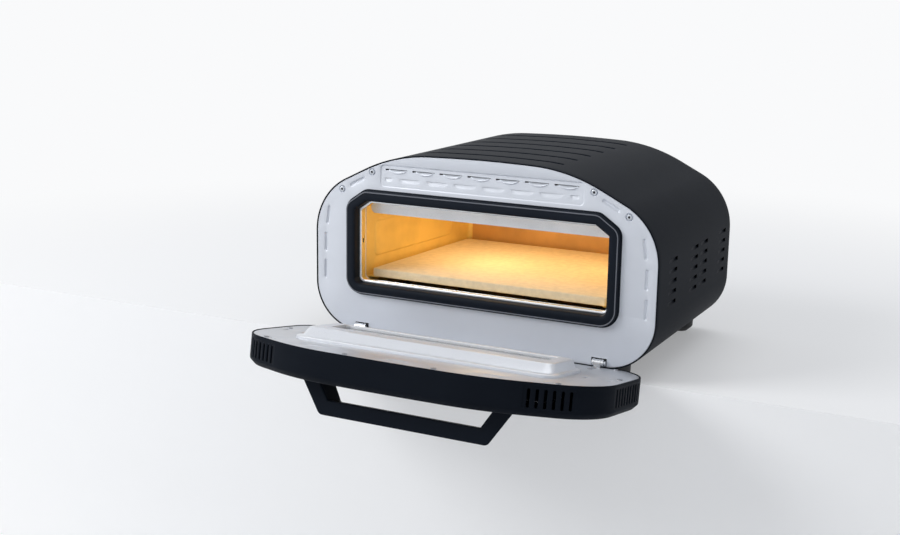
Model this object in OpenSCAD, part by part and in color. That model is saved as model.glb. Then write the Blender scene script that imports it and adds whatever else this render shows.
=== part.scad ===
// Electric pizza maker: a countertop oven with a drop-down front door.
// Origin: centre of the four feet, on the surface the oven stands on.
// +X right, +Y back, +Z up, seen from the front. Millimetres.

/* [Body] */
// Width over the outer shell
body_w = 500; // [480:1:530]
// Height of the shell, without the feet
body_h = 256; // [248:1:275]
// Depth of the shell, front edge to back edge
body_d = 324; // [318:1:360]
// Distance from the top down to where the sides turn into the sloping shoulders
side_drop = 66; // [60:1:72]
// Width of each sloping shoulder
shoulder_run = 124; // [115:1:130]
// Rise of the top at its middle
crown_h = 4; // [2:0.5:6]
// Radius of the lower long edges
lower_r = 67; // [60:1:70]
// Radius between side and shoulder
side_r = 85; // [75:1:90]
// Radius between shoulder and top
shoulder_r = 232; // [200:1:240]
// Length of the straight stretch between the shoulder's curve and the crown's
crown_flat = 18; // [10:1:30]
// Sheet thickness of the shell
shell_t = 1.5; // [1.2:0.1:2]

/* [Shell details] */
// Number of cooling grooves across the top
groove_count = 6; // [4:1:6]
// Distance from the front edge to the first groove
groove_first = 43; // [36:1:46]
// Distance from the last groove to the back edge
groove_last = 41; // [36:1:46]
// Distance from the ends of a groove to the shoulder
groove_end = 23; // [15:1:40]
// Width of each groove
groove_w = 8; // [6:0.5:10]
// Depth of each groove
groove_depth = 1.6; // [1:0.1:2]
// Length of a side louvre
side_louvre_len = 33; // [28:1:36]
// Height of a side louvre
side_louvre_h = 6; // [5:0.5:7]
// Number of rows of side louvres
side_louvre_rows = 5; // [3:1:5]
// Distance from the highest side louvre to the shoulder
side_louvre_drop = 51; // [48:1:60]
// Height of the lowest side louvre
side_louvre_z = 83; // [80:1:84]

/* [Feet] */
// Height of the feet
foot_h = 16; // [14:1:24]
// Radius of a foot
foot_r = 20; // [16:1:21]
// Radius of the surface that a foot stands on
foot_tip_r = 12; // [9:0.5:14]
// Distance of the feet from the body's sides
foot_side = 60; // [58:1:70]
// Distance from the body's front and back edges to the feet
foot_inset = 26; // [25:1:40]

/* [Front face] */
// Sheet thickness of the front plate
plate_t = 1.2; // [1:0.1:1.6]
// How far the front plate lies behind the shell's edge
plate_recess = 1; // [0.5:0.1:2]
// Distance between the oven's throat and the body's sides
throat_side = 66.5; // [65:0.5:72]
// Height of the throat's floor
throat_z0 = 70; // [68:0.5:74]
// Distance between the throat's ceiling and the body's top
throat_drop = 71; // [69:0.5:78]
// Width of the throat's corner chamfers
throat_chamfer_x = 18; // [12:1:24]
// Height of the throat's corner chamfers
throat_chamfer_z = 12.5; // [8:0.5:16]
// Width of the bright lip round the throat
lip_w = 2.4; // [1.6:0.1:3]
// How far this lip stands in front of the shell
lip_out = 4.6; // [3:0.1:5]
// Width of the door seal
gasket_w = 17; // [14:0.5:18]
// How far the door seal stands out of the front plate
gasket_out = 6.4; // [5:0.1:6.6]

/* [Cavity] */
// Sheet thickness of the cavity
liner_t = 1; // [0.8:0.1:1.2]
// Depth of the throat collar behind the shell's front edge
collar_d = 24; // [20:1:28]
// Distance between the cavity's back wall and the body's back edge
cavity_space = 22; // [20:1:30]
// How much each side of the cavity comes in towards the back
cavity_taper = 23.5; // [0:0.5:26]
// Height of the cavity's floor
cavity_floor_z = 46; // [42:1:48]
// Radius of the cavity's back corners
cavity_corner_r = 7; // [4:1:14]
// Thickness of the insulation blanket
insulation_t = 12; // [8:1:14]

/* [Stone] */
// Gap between the pizza stone and the throat, at each side
stone_side_gap = 9.1; // [8:0.1:14]
// Gap between the pizza stone and the cavity's back wall
stone_back_gap = 11; // [6:1:20]
// How much each side of the stone comes in towards the back
stone_taper = 17.5; // [0:0.5:20]
// Thickness of the pizza stone
stone_t = 11.5; // [10:0.5:14]
// Height of the stone's underside
stone_z = 74.5; // [74:0.5:76]
// Distance from the shell's front edge to the stone
stone_y = 26; // [25:1:30]
// Radius of the stone's back corners
stone_corner_r = 7; // [4:1:12]

/* [Door] */
// Angle between the open door and its closed place
door_open = 80.1; // [70:0.1:84]
// Gap between the closed door's edge and the shell
door_gap = 6; // [5.8:0.1:7]
// Thickness of the door
door_t = 40; // [36:1:44]
// Height of the bevel round the door's outer face, along the door's thickness
door_bevel_t = 8; // [6:0.5:10]
// Width of the same bevel
door_bevel_w = 8; // [6:0.5:9]
// Wall thickness of the door housing
door_wall = 2.2; // [1.8:0.1:3]
// How far the door's lower edge is trimmed to clear the shell
door_trim = 5.5; // [5.5:0.1:7]
// How far the inner panel lies below the door housing's rim
panel_recess = 0.8; // [0.5:0.1:1.5]
// Sheet thickness of the door's inner panel
panel_t = 1.2; // [1:0.1:1.6]

/* [Door window] */
// Gap between the window frame's foot and the throat, at each side
frame_side_gap = 6.5; // [5.5:0.5:12]
// Lower edge of the window frame's foot, along the door
frame_s0 = 74; // [73.5:0.5:78]
// Gap between the window frame's foot and the throat's ceiling
frame_top_gap = 17; // [14:0.5:24]
// Height of the window frame above the inner panel's rim plane
frame_h = 14.5; // [12:0.5:16]
// Width of the window frame beside the inner window
frame_side_w = 24; // [22:1:30]
// Width of the window frame below the inner window
frame_low_w = 10; // [9:0.5:14]
// Part of the window frame's height that lies above the inner window
frame_top_part = 0.436; // [0.4:0.002:0.48]
// Thickness of both window glasses
glass_t = 4; // [3:0.5:5]
// How much wider the outer window is than the inner one, at each side
outer_window_more = 7; // [4:1:10]
// How much higher the outer window reaches than the inner one
outer_window_rise = 19; // [12:1:22]

/* [Door vents] */
// Number of slots in each shoulder vent
shoulder_slots = 6; // [4:1:6]
// Number of slots in each end vent
end_slots = 10; // [6:1:10]
// Distance between the slots of the shoulder vents
slot_pitch = 10; // [9:0.5:10]
// Width of a vent slot
slot_w = 4.4; // [3:0.2:5]
// Length of a vent slot
slot_len = 23; // [18:1:24]

/* [Handle] */
// Half length of the handle where it meets the door
handle_root_x = 149; // [140:1:152]
// Half length of the handle's grip bar, at its outer face
handle_tip_x = 117; // [108:1:122]
// How far the handle's outer face is from the door's rim plane
handle_out = 88; // [80:1:94]
// Thickness of the grip bar
grip_t = 20; // [16:1:22]
// Distance from the door's top down to the handle
handle_drop = 58; // [54:1:64]
// Depth of the handle, along the door
handle_w = 36; // [30:1:38]

// How much the handle's ends come in from its upper to its lower side
handle_draft = 12.5; // [0:0.5:14]

/* [Controls] */
// Distance of the first push buttons from the middle plane
button_x = 50; // [48:1:54]
// Distance between push buttons
button_pitch = 22; // [20:1:23]
// Radius of a push button
button_r = 7; // [5:0.5:8]
// How far a push button stands out of the control panel
button_out = 0.8; // [0.4:0.1:1]
// Travel of a push button
button_travel = 1.5; // [1:0.1:2]

/* [Hinges] */
// Height of the hinge axis above the shell's underside
hinge_up = 7.4; // [7:0.1:8]
// How far the hinge axis lies in front of the shell
hinge_front = 1.1; // [0.8:0.1:1.5]
// Distance of the hinges from the body's sides
hinge_side = 74; // [72:1:90]
// Radius of the hinge pins
hinge_pin_r = 2; // [1.5:0.1:2.4]
// Width of the hinge barrel on the door
barrel_w = 9; // [7:1:12]

/* [Hidden] */

fit_gap = 0.3;          // gap between neighbours that don't touch
run_gap = 0.05;         // radial gap of a shaft that turns in a hole
arc_step = 5;           // degrees between the points of a rounded outline
round_fn = 64;          // facets asked for on round pieces
long = 1000;            // longer than the whole oven
sliver = 0.01;          // thickness of the slices that a bevel spans

black = [0.11, 0.13, 0.17];
silver = [0.80, 0.82, 0.85];

side_h = body_h - side_drop;
shoulder_x = body_w / 2 - shoulder_run;
throat_x = body_w / 2 - throat_side;
throat_z1 = body_h - throat_drop;
foot_x = body_w / 2 - foot_side;
hinge_x = body_w / 2 - hinge_side;
cavity_d = body_d - cavity_space;
stone_w = 2 * (throat_x - stone_side_gap);
stone_d = cavity_d - stone_back_gap - stone_y;
frame_x = throat_x - frame_side_gap;
frame_s1 = throat_z1 - frame_top_gap;
window_x = frame_x - frame_side_w;
window_s0 = frame_s0 + frame_low_w;
window_s1 = frame_s1 - frame_top_part * (frame_s1 - frame_s0);
outer_window_x = window_x + outer_window_more;
outer_window_s1 = window_s1 + outer_window_rise;
handle_s1 = body_h - handle_drop;
groove_len = 2 * (shoulder_x - groove_end);
groove_pitch = (body_d - groove_first - groove_last) / (groove_count - 1);
side_louvre_pitch = (side_h - side_louvre_z - side_louvre_drop) / (side_louvre_rows - 1);
front_y = -body_d / 2;
base_z = foot_h;
hinge_y = front_y - hinge_front;
hinge_z = base_z + hinge_up;
plate_back = plate_recess + plate_t;
outer_window_s0 = frame_s0 - 4;

// ---- Outlines -------------------------------------------------------------

// Inward direction of the edge a to b of a counter-clockwise outline
function inward(a, b) = let (e = b - a) [-e.y, e.x] / norm(e);
function before(pts, i) = pts[(i + len(pts) - 1) % len(pts)];
function after(pts, i) = pts[(i + 1) % len(pts)];
function shifted(p, n1, n2, d) = p + d * (n1 + n2) / (1 + n1 * n2);

// The corners of an outline whose edges all lie d further in
function inset_corners(pts, d) = [
    for (i = [0:len(pts) - 1])
        shifted(pts[i], inward(before(pts, i), pts[i]), inward(pts[i], after(pts, i)), d)
];

// An arc from the edge direction n1 to n2 round centre c
function corner_arc(c, r, n1, n2) =
    let (a1 = atan2(-n1.y, -n1.x), turn = acos(max(-1, min(1, n1 * n2))),
         steps = max(3, ceil(turn / arc_step)))
    [for (k = [0:steps]) let (a = a1 + turn * k / steps) c + r * [cos(a), sin(a)]];

// A counter-clockwise outline with each corner rounded
function rounded(pts, radii) = [
    for (i = [0:len(pts) - 1])
        let (n1 = inward(before(pts, i), pts[i]), n2 = inward(pts[i], after(pts, i)), r = radii[i])
        each r > 0 ? corner_arc(shifted(pts[i], n1, n2, r), r, n1, n2) : [pts[i]]
];

function less(radii, d) = [for (r = radii) r > 0 ? max(0, r - d) : 0];

crown_slope = atan2(crown_h, shoulder_x);
shoulder_slope = atan2(side_drop - crown_h, shoulder_run);
crown_r = (shoulder_x - shoulder_r * tan((shoulder_slope - crown_slope) / 2) - crown_flat) / tan(crown_slope);
body_corners = [
    [-body_w / 2, 0], [body_w / 2, 0], [body_w / 2, side_h], [shoulder_x, body_h - crown_h],
    [0, body_h], [-shoulder_x, body_h - crown_h], [-body_w / 2, side_h]
];
body_radii = [lower_r, lower_r, side_r, shoulder_r, crown_r, shoulder_r, side_r];

// The oven's arched outline, seen from the front, d inside the shell's outer face
module body_outline(d = 0) {
    polygon(rounded(inset_corners(body_corners, d), less(body_radii, d)));
}

throat_corners = [
    [-throat_x, throat_z0], [throat_x, throat_z0], [throat_x, throat_z1 - throat_chamfer_z],
    [throat_x - throat_chamfer_x, throat_z1], [-throat_x + throat_chamfer_x, throat_z1],
    [-throat_x, throat_z1 - throat_chamfer_z]
];
throat_radii = [8, 8, 2, 2, 2, 2];

// The throat's outline, d outside its inner face
module throat_outline(d = 0) {
    polygon(rounded(inset_corners(throat_corners, -d), [for (r = throat_radii) r + d]));
}

module rounded_rect(x0, y0, x1, y1, r) {
    polygon(rounded([[x0, y0], [x1, y0], [x1, y1], [x0, y1]], [r, r, r, r]));
}

// A slot with round ends, centred on the origin, along X
module slot_2d(len, w) {
    square([len - w, w], center = true);
    for (side = [-1, 1]) translate([side * (len - w) / 2, 0]) circle(d = w, $fn = round_fn);
}

// ---- Frames ---------------------------------------------------------------

// Children are drawn as (x, height, towards the front) from depth y
module at_depth(y) {
    translate([0, front_y + y, base_z]) rotate([90, 0, 0]) children();
}

// A flat outline made solid between two depths
module slab(y0, y1) {
    at_depth(y1) linear_extrude(y1 - y0) children();
}

// Children are drawn as (x, along the door, outwards from its rim plane)
module door_frame() {
    translate([0, hinge_y, hinge_z]) rotate([door_open, 0, 0]) translate([0, -hinge_y, -hinge_z])
        at_depth(-door_gap) children();
}

module both_sides() {
    children();
    mirror([1, 0, 0]) children();
}

// A round rod along X, centred at (y, z)
module rod_x(x0, x1, y, z, r) {
    translate([x0, y, z]) rotate([0, 90, 0]) cylinder(h = x1 - x0, r = r, $fn = round_fn);
}

// A screw with a flat round head of radius r and a cross recess; its tip points to -Z
module screw(head_r, head_h, shank_r, shank_len) {
    difference() {
        cylinder(h = head_h, r = head_r, $fn = round_fn);
        for (turn = [0, 90]) rotate([0, 0, turn])
            translate([-head_r * 0.55, -head_r * 0.11, head_h * 0.5])
                cube([head_r * 1.1, head_r * 0.22, head_h]);
    }
    translate([0, 0, -shank_len]) cylinder(h = shank_len + sliver, r = shank_r, $fn = round_fn);
}

// ---- Shell ----------------------------------------------------------------

flange_w = 9;                             // width of the shell's inner flanges
flange_t = 1.2;
flange_gap = 1.1;                         // room between the flanges and the front and back plates
flange_back = plate_recess + plate_t + flange_gap + flange_t;
lip_x = body_w / 2 - 82;                  // the shell's lips under the base plate end here
groove_ys = [for (i = [0:groove_count - 1]) groove_first + groove_pitch * i];
side_louvre_ys = [for (part = [0.18, 0.463, 0.6, 0.876]) part * body_d];     // middles of the columns of side louvres
hinge_notch = barrel_w / 2 + 6;           // half width of the notches for the hinges
hinge_notch_h = 13;

module groove_band(y, w, d0, d1) {
    slab(y - w / 2, y + w / 2) intersection() {
        difference() {
            body_outline(d0);
            body_outline(d1);
        }
        translate([-groove_len / 2 - (w - groove_w) / 2, body_h / 2])
            square([groove_len + w - groove_w, body_h]);
    }
}

// The ring of the shell's front or back flange
module flange_ring() {
    difference() {
        body_outline(shell_t - sliver);
        body_outline(shell_t + flange_w);
    }
}

module side_louvre_places() {
    for (y = side_louvre_ys) for (row = [0:side_louvre_rows - 1])
        translate([0, front_y + y, base_z + side_louvre_z + row * side_louvre_pitch]) children();
}

module outer_shell() {
    color(black) difference() {
        union() {
            slab(0, body_d) difference() {
                body_outline();
                body_outline(shell_t);
            }
            slab(flange_back - flange_t, flange_back) flange_ring();
            slab(body_d - flange_back, body_d - flange_back + flange_t) flange_ring();
            for (y = groove_ys) groove_band(y, groove_w + 2 * shell_t, shell_t - sliver, shell_t + groove_depth);
        }
        for (y = groove_ys) groove_band(y, groove_w, -1, groove_depth);
        slab(flange_back + 2, body_d - flange_back - 2)
            translate([-lip_x, -1]) square([2 * lip_x, shell_t + 2]);
        both_sides() slab(-1, flange_back + 1)
            translate([hinge_x - hinge_notch, shell_t + 0.2]) square([2 * hinge_notch, hinge_notch_h]);
        both_sides() side_louvre_places() translate([body_w / 2, 0, 0])
            rotate([0, 90, 0]) rotate([0, 0, 90]) linear_extrude(4 * shell_t, center = true)
                slot_2d(side_louvre_len, side_louvre_h * 0.4);
        foot_screw_places() cylinder(h = 20, r = foot_screw_r + 0.2, center = true, $fn = round_fn);
        slab(plate_back, flange_back + 1) for (p = plate_screws) translate(p) circle(r = screw_r + 0.2, $fn = round_fn);
        slab(body_d - flange_back - 1, body_d - plate_back)
            for (p = back_screws) translate(p) circle(r = screw_r + 0.2, $fn = round_fn);
    }
}

// ---- Base plate and feet --------------------------------------------------

base_plate_x = body_w / 2 - 69;
foot_screw_r = 2;
foot_y = body_d / 2 - foot_inset;

module foot_screw_places() {
    for (x = [-1, 1]) for (y = [-1, 1]) translate([x * foot_x, y * foot_y, base_z]) children();
}

module base_plate() {
    color(black) difference() {
        translate([0, 0, base_z + shell_t]) difference() {
            translate([-base_plate_x, front_y + flange_back + 0.4, 0])
                cube([2 * base_plate_x, body_d - 2 * (flange_back + 0.4), 1.2]);
            for (place = [-5:5]) for (row = [-1:1]) translate([place * body_w / 21, row * body_d * 0.216, -1])
                linear_extrude(4) rotate([0, 0, 90]) slot_2d(44, 6);
        }
    }
}

module foot() {
    difference() {
        union() {
            cylinder(h = 7, r1 = foot_tip_r, r2 = foot_r - 0.8, $fn = round_fn);
            translate([0, 0, 7 - sliver]) cylinder(h = foot_h + 2, r1 = foot_r - 0.8, r2 = foot_r, $fn = round_fn);
        }
        translate([0, 0, foot_h - 9]) cylinder(h = 20, r = foot_screw_r, $fn = round_fn);
    }
}

module foot_at(x, y) {
    color([0.08, 0.09, 0.11]) difference() {
        translate([x * foot_x, y * foot_y, 0]) foot();
        slab(-1, body_d + 1) body_outline();
    }
}

module foot_screws() {
    color(silver) for (x = [-1, 1]) for (y = [-1, 1])
        translate([x * foot_x, y * foot_y, base_z + 2.6]) screw(4, 2, foot_screw_r - 0.02, 11);
}

// ---- Back panel and power inlet -------------------------------------------

inlet_x = 100 - body_w / 2;
inlet_z = 24;
inlet_flange_t = 2.4;
inlet_w = 32;
inlet_h = 24;
inlet_screw_x = 20;
back_screws = concat(
    [for (side = [-1, 1]) each [[side * (body_w / 2 - 45), lower_r - 7], [side * (body_w / 2 - 45), side_h - 15],
        [side * (shoulder_x - 36), body_h - 18]]],
    [for (side = [-1, 1]) [inlet_x + side * inlet_screw_x, inlet_z]]
);
screw_r = 1.8;
screw_head_r = 3.6;
screw_head_h = 1.6;
screw_len = 8;

module panel_screw_places(places, y) {
    for (p = places) at_depth(y) translate([p.x, p.y, 0]) children();
}

module back_panel() {
    color(black) slab(body_d - plate_back, body_d - plate_recess) difference() {
        body_outline(shell_t + fit_gap);
        translate([inlet_x, inlet_z]) square([inlet_w, inlet_h], center = true);
        for (p = back_screws) translate(p) circle(r = screw_r + 0.2, $fn = round_fn);
        for (place = [-5.5:5.5]) for (row = [0:2])
            translate([place * body_w / 21, throat_z1 - 10 - 40 * row]) rotate(90) slot_2d(30, 6);
        for (place = [-3:6]) translate([place * body_w / 21, 28]) rotate(90) slot_2d(22, 6);
    }
}

module back_panel_screws() {
    color(silver) for (p = back_screws)
        translate([p.x, front_y + body_d - plate_recess + (p.y == inlet_z ? inlet_flange_t : 0), base_z + p.y])
            rotate([-90, 0, 0]) screw(screw_head_r, screw_head_h, screw_r, screw_len);
}

module power_inlet() {
    color([0.06, 0.06, 0.07]) translate([inlet_x, front_y + body_d - plate_recess, base_z + inlet_z])
        rotate([-90, 0, 0]) difference() {
            union() {
                linear_extrude(inlet_flange_t) difference() {
                    rounded_rect(-24, -14, 24, 14, 4);
                    for (side = [-1, 1]) translate([side * inlet_screw_x, 0]) circle(r = screw_r + 0.1, $fn = round_fn);
                }
                translate([0, 0, -24]) linear_extrude(24 + sliver)
                    square([inlet_w - 2 * fit_gap, inlet_h - 2 * fit_gap], center = true);
            }
            translate([0, 0, -18]) linear_extrude(30) rounded_rect(-12.5, -8.2, 12.5, 8.2, 3);
        }
}

module inlet_pins() {
    color(silver) translate([inlet_x, front_y + body_d - plate_recess, base_z + inlet_z]) rotate([-90, 0, 0])
        for (x = [-7, 0, 7]) translate([x - 1, x == 0 ? -5 : -1, -18 + sliver]) cube([2, 4, 14]);
}

// ---- Front plate ----------------------------------------------------------

plate_screws = [for (side = [-1, 1]) each
    [[side * (body_w / 2 - 42), side_h + 8.6], [side * (body_w / 2 - 89.4), side_h + 35.7]]];
vent_x = shoulder_x + 22;          // half width of the sunken vent field
vent_z0 = throat_z1 + 21.5;
vent_z1 = throat_z1 + 52.5;
vent_sink = 0.9;
dimple_w = 5;
dimple_len = 28;
dimple_drop = 29.7;
dimple_pitch = 38.4;
// Sunken slots of the front plate: middle, length and angle from upright
side_dimples = [
    [body_w / 2 - 19.5, side_h - dimple_drop, dimple_len, 8],
    [body_w / 2 - 15.5, side_h - dimple_drop - dimple_pitch, dimple_len, 0],
    [body_w / 2 - 15, side_h - dimple_drop - 2 * dimple_pitch, dimple_len, 0],
    [throat_x, side_h + 20.8, dimple_len, 62]
];
upper_scoops = 7;
upper_scoop_pitch = vent_x / 3.6;
upper_scoop_len = 30;
upper_scoop_z = vent_z1 - 5.5;
lower_scoop_z = vent_z1 - 16.5;

// A sunken slot with sloping sides, cut from a face at z = 0
module dimple_cut(len, w, depth) {
    slope = 0.9;
    for (side = [-1, 1]) translate([side * (len - w) / 2, 0, -depth])
        cylinder(h = depth + sliver, r1 = w / 2 - slope, r2 = w / 2, $fn = round_fn);
    rotate([90, 0, 90]) linear_extrude(len - w, center = true)
        polygon([[-w / 2 + slope, -depth], [w / 2 - slope, -depth], [w / 2, sliver], [-w / 2, sliver]]);
}

module front_plate_outline() {
    difference() {
        body_outline(shell_t + fit_gap);
        throat_outline(liner_t + 0.2);
        both_sides() translate([hinge_x - hinge_notch, 0]) square([2 * hinge_notch, hinge_notch_h]);
        for (p = plate_screws) translate(p) circle(r = screw_r + 0.2, $fn = round_fn);
    }
}

// Places of the vent field's louvres: middle, length and height
louvre_places = concat(
    [for (i = [0:upper_scoops - 1])
        [(i - (upper_scoops - 1) / 2) * upper_scoop_pitch, upper_scoop_z, upper_scoop_len, 6.5]],
    [for (i = [0:upper_scoops - 2])
        [(i - (upper_scoops - 2) / 2) * upper_scoop_pitch, lower_scoop_z, upper_scoop_len - 4, 6]],
    [for (side = [-1, 1]) [side * upper_scoops / 2 * upper_scoop_pitch * 0.95, lower_scoop_z, 11, 5]]
);

module front_plate() {
    color(silver) difference() {
        union() {
            slab(plate_recess, plate_back) front_plate_outline();
            slab(plate_back - sliver, plate_back + vent_sink)
                rounded_rect(-vent_x - 1, vent_z0 - 1, vent_x + 1, vent_z1 + 1, 7);
            both_sides() for (d = side_dimples) slab(plate_back - sliver, plate_back + 0.8)
                translate([d.x, d.y]) rotate(90 + d[3]) slot_2d(d[2] + 2, dimple_w + 2);
        }
        slab(plate_recess - 1, plate_recess + vent_sink) rounded_rect(-vent_x, vent_z0, vent_x, vent_z1, 6);
        both_sides() for (d = side_dimples)
            at_depth(plate_recess) translate([d.x, d.y, 0]) rotate([0, 0, 90 + d[3]])
                dimple_cut(d[2], dimple_w, 1.2);
        for (p = louvre_places) slab(-1, 8) translate([p.x, p.y + p[3] / 2 - 1.2]) slot_2d(p[2], 2.2);
    }
}

module front_plate_screws() {
    color(silver) panel_screw_places(plate_screws, plate_recess)
        screw(screw_head_r, screw_head_h, screw_r, screw_len);
}

module door_seal() {
    seal_out = gasket_out + plate_recess;
    color([0.07, 0.09, 0.13]) {
        slab(plate_recess - seal_out, plate_recess) difference() {
            throat_outline(gasket_w - 2);
            throat_outline(lip_w + 0.2);
        }
        slab(plate_recess - 1.6, plate_recess - sliver) difference() {
            throat_outline(gasket_w);
            throat_outline(gasket_w - 2 - sliver);
        }
    }
}

// ---- Cavity ---------------------------------------------------------------

collar_hole_y = collar_d - 6.5;    // middle of the small hole in each side of the collar
collar_hole_z = throat_z1 - 59;

module throat_collar() {
    color(silver) difference() {
        union() {
            slab(-lip_out, collar_d) throat_outline(liner_t);
            slab(-lip_out, plate_recess - 0.2) throat_outline(lip_w);
            slab(plate_back + fit_gap, plate_back + fit_gap + liner_t) throat_outline(gasket_w - 1);
        }
        slab(-lip_out - 1, collar_d + 1) throat_outline();
        both_sides() translate([throat_x - 1, front_y + collar_hole_y - 2, base_z + collar_hole_z - 3])
            cube([liner_t + 2, 4, 6]);
    }
}

cavity_corners = [
    [-throat_x, cavity_floor_z], [throat_x, cavity_floor_z], [throat_x, throat_z1 - throat_chamfer_z],
    [throat_x - throat_chamfer_x, throat_z1], [-throat_x + throat_chamfer_x, throat_z1],
    [-throat_x, throat_z1 - throat_chamfer_z]
];

module cavity_outline(d = 0) {
    polygon(rounded(inset_corners(cavity_corners, -d), [for (r = throat_radii) r + d]));
}

cavity_back_x = throat_x - cavity_taper;
cavity_plan_corners = [
    [-throat_x, collar_d - 40], [throat_x, collar_d - 40], [throat_x, collar_d], [cavity_back_x, cavity_d],
    [-cavity_back_x, cavity_d], [-throat_x, collar_d]
];

// Half width of the cavity at depth y
function wall_x(y) = throat_x - cavity_taper * max(0, y - collar_d) / (cavity_d - collar_d);

// The cavity's plan: narrower at the back
module cavity_plan(d) {
    translate([0, front_y, base_z]) linear_extrude(body_h) polygon(rounded(
        inset_corners(cavity_plan_corners, -d), [0, 0, 0, cavity_corner_r + d, cavity_corner_r + d, 0]));
}

lamp_y = cavity_d * 0.63;
lamp_z = throat_z1 - 35;
lamp_r = 16;
lamp_x = wall_x(lamp_y);

module cavity_liner() {
    color([0.82, 0.72, 0.52]) difference() {
        intersection() {
            slab(collar_d, cavity_d) cavity_outline(liner_t);
            cavity_plan(liner_t);
        }
        intersection() {
            slab(collar_d + liner_t, cavity_d + 1) cavity_outline();
            cavity_plan(0);
        }
        slab(collar_d - 1, collar_d + liner_t + 1) throat_outline();
        rod_x(lamp_x - 4, lamp_x + 6, front_y + lamp_y, base_z + lamp_z, lamp_r - 3);
    }
}

element_r = 3.25;
element_z = throat_z1 - 14;
lower_element_z = cavity_floor_z + 11;
element_x = throat_x - 33.5;
element_middle_x = element_x / 2;
element_inner_x = element_x / 6;
element_front = 62;
element_back = cavity_d - 54;
element_bend = 20;
terminal_len = 10;

module cavity_back() {
    color([0.80, 0.66, 0.44]) difference() {
        intersection() {
            slab(cavity_d + 0.1, cavity_d + 0.1 + liner_t) cavity_outline(liner_t + 4);
            cavity_plan(liner_t + 4);
        }
        for (side = [-1, 1]) for (z = [element_z, lower_element_z])
            slab(cavity_d - 4, cavity_d + 8) translate([side * element_inner_x, z])
                circle(r = element_r + 0.1, $fn = round_fn);
        slab(cavity_d - 4, cavity_d + 8) translate([probe_x, probe_z]) circle(r = probe_r + 0.1, $fn = round_fn);
    }
}

deflector_y = collar_d + 6;
deflector_z = throat_z1 - 21;
deflector_gap = 0.9;                      // room for the cavity's sides to come in

module heat_deflector() {
    lip = 4;
    color(silver) {
        slab(deflector_y, deflector_y + liner_t) difference() {
            intersection() {
                cavity_outline(-deflector_gap);
                rounded_rect(-throat_x + 5, deflector_z, throat_x - 5, body_h, 7);
            }
            for (side = [-1, 1]) translate([side * throat_x * 0.58, throat_z1 - 6]) slot_2d(9, 2.4);
        }
        slab(deflector_y + liner_t - sliver, deflector_y + liner_t + lip)
            translate([-throat_x + 14, deflector_z]) square([2 * throat_x - 28, liner_t]);
    }
}

rail_w = 16;

rail_t = 1.5;
rail_y0 = collar_d + 6;
rail_y1 = cavity_d - 30;

// The strip along the right wall, w wide
module wall_strip(w) {
    translate([0, front_y]) polygon([
        [wall_x(rail_y0), rail_y0], [wall_x(rail_y1), rail_y1], [wall_x(rail_y1) - w, rail_y1],
        [wall_x(rail_y0) - w, rail_y0]
    ]);
}

module stone_rail(side) {
    color(silver) mirror([side < 0 ? 1 : 0, 0, 0]) translate([0, 0, base_z + stone_z - fit_gap]) {
        translate([0, 0, -rail_t]) linear_extrude(rail_t) wall_strip(rail_w);
        translate([0, 0, -14]) linear_extrude(14) wall_strip(rail_t);
    }
}

// Half of a heating element, from its terminal to the middle of its front run
module element_half(z) {
    bend_in = (element_middle_x - element_inner_x) / 2;
    bend_out = (element_x - element_middle_x) / 2;
    module leg(x, y0, y1) {
        translate([x, front_y + y0, base_z + z]) rotate([-90, 0, 0])
            cylinder(h = y1 - y0, r = element_r, $fn = round_fn);
    }
    module bend(x, y, r, start, sweep) {
        translate([x, front_y + y, base_z + z]) rotate([0, 0, start])
            rotate_extrude(angle = sweep, $fn = round_fn) translate([r, 0]) circle(r = element_r, $fn = 24);
    }
    leg(element_inner_x, element_front + 50, cavity_d + terminal_len);
    bend(element_inner_x + bend_in, element_front + 50, bend_in, 180, 180);
    leg(element_middle_x, element_front + 50, element_back);
    bend(element_middle_x + bend_out, element_back, bend_out, 0, 180);
    leg(element_x, element_front + element_bend, element_back);
    bend(element_x - element_bend, element_front + element_bend, element_bend, 270, 90);
    rod_x(-sliver, element_x - element_bend, front_y + element_front, base_z + z, element_r);
}

module heating_element(z) {
    color([0.35, 0.33, 0.32]) both_sides() element_half(z);
}

// Clips that hang the upper element from the ceiling and stand the lower one on the floor
module element_clips() {
    clip_t = 1.2;
    clip_w = 2 * element_r + 5;
    module clip(x, z0, z1) {
        translate([x - 5, front_y + element_front - clip_w / 2, base_z + z0]) difference() {
            cube([10, clip_w, z1 - z0]);
            translate([-1, clip_t, clip_t]) cube([12, clip_w - 2 * clip_t, z1 - z0 - 2 * clip_t]);
        }
    }
    color(silver) for (x = [-70, 70]) {
        clip(x, element_z - element_r - clip_t, throat_z1);
        clip(x, cavity_floor_z, lower_element_z + element_r + clip_t);
    }
}

probe_r = 2;
probe_len = 60;                           // how far the probe reaches into the cavity
probe_tail = 12;
probe_x = element_middle_x + 45;
probe_z = element_z - 13;

module temperature_probe() {
    color(silver) {
        at_depth(cavity_d + probe_tail) translate([probe_x, probe_z, 0])
            cylinder(h = probe_tail + probe_len, r = probe_r, $fn = round_fn);
        at_depth(cavity_d) translate([probe_x, probe_z, 0]) cylinder(h = 2.5, r = 5, $fn = round_fn);
    }
}

lamp_out = lamp_x + 2.4;                  // clear of the sloping wall

module lamp_holder() {
    color([0.9, 0.88, 0.84]) difference() {
        rod_x(lamp_out, lamp_out + 38, front_y + lamp_y, base_z + lamp_z, lamp_r);
        rod_x(lamp_out - 1, lamp_out + 32, front_y + lamp_y, base_z + lamp_z, lamp_r - 3);
    }
}

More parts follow.
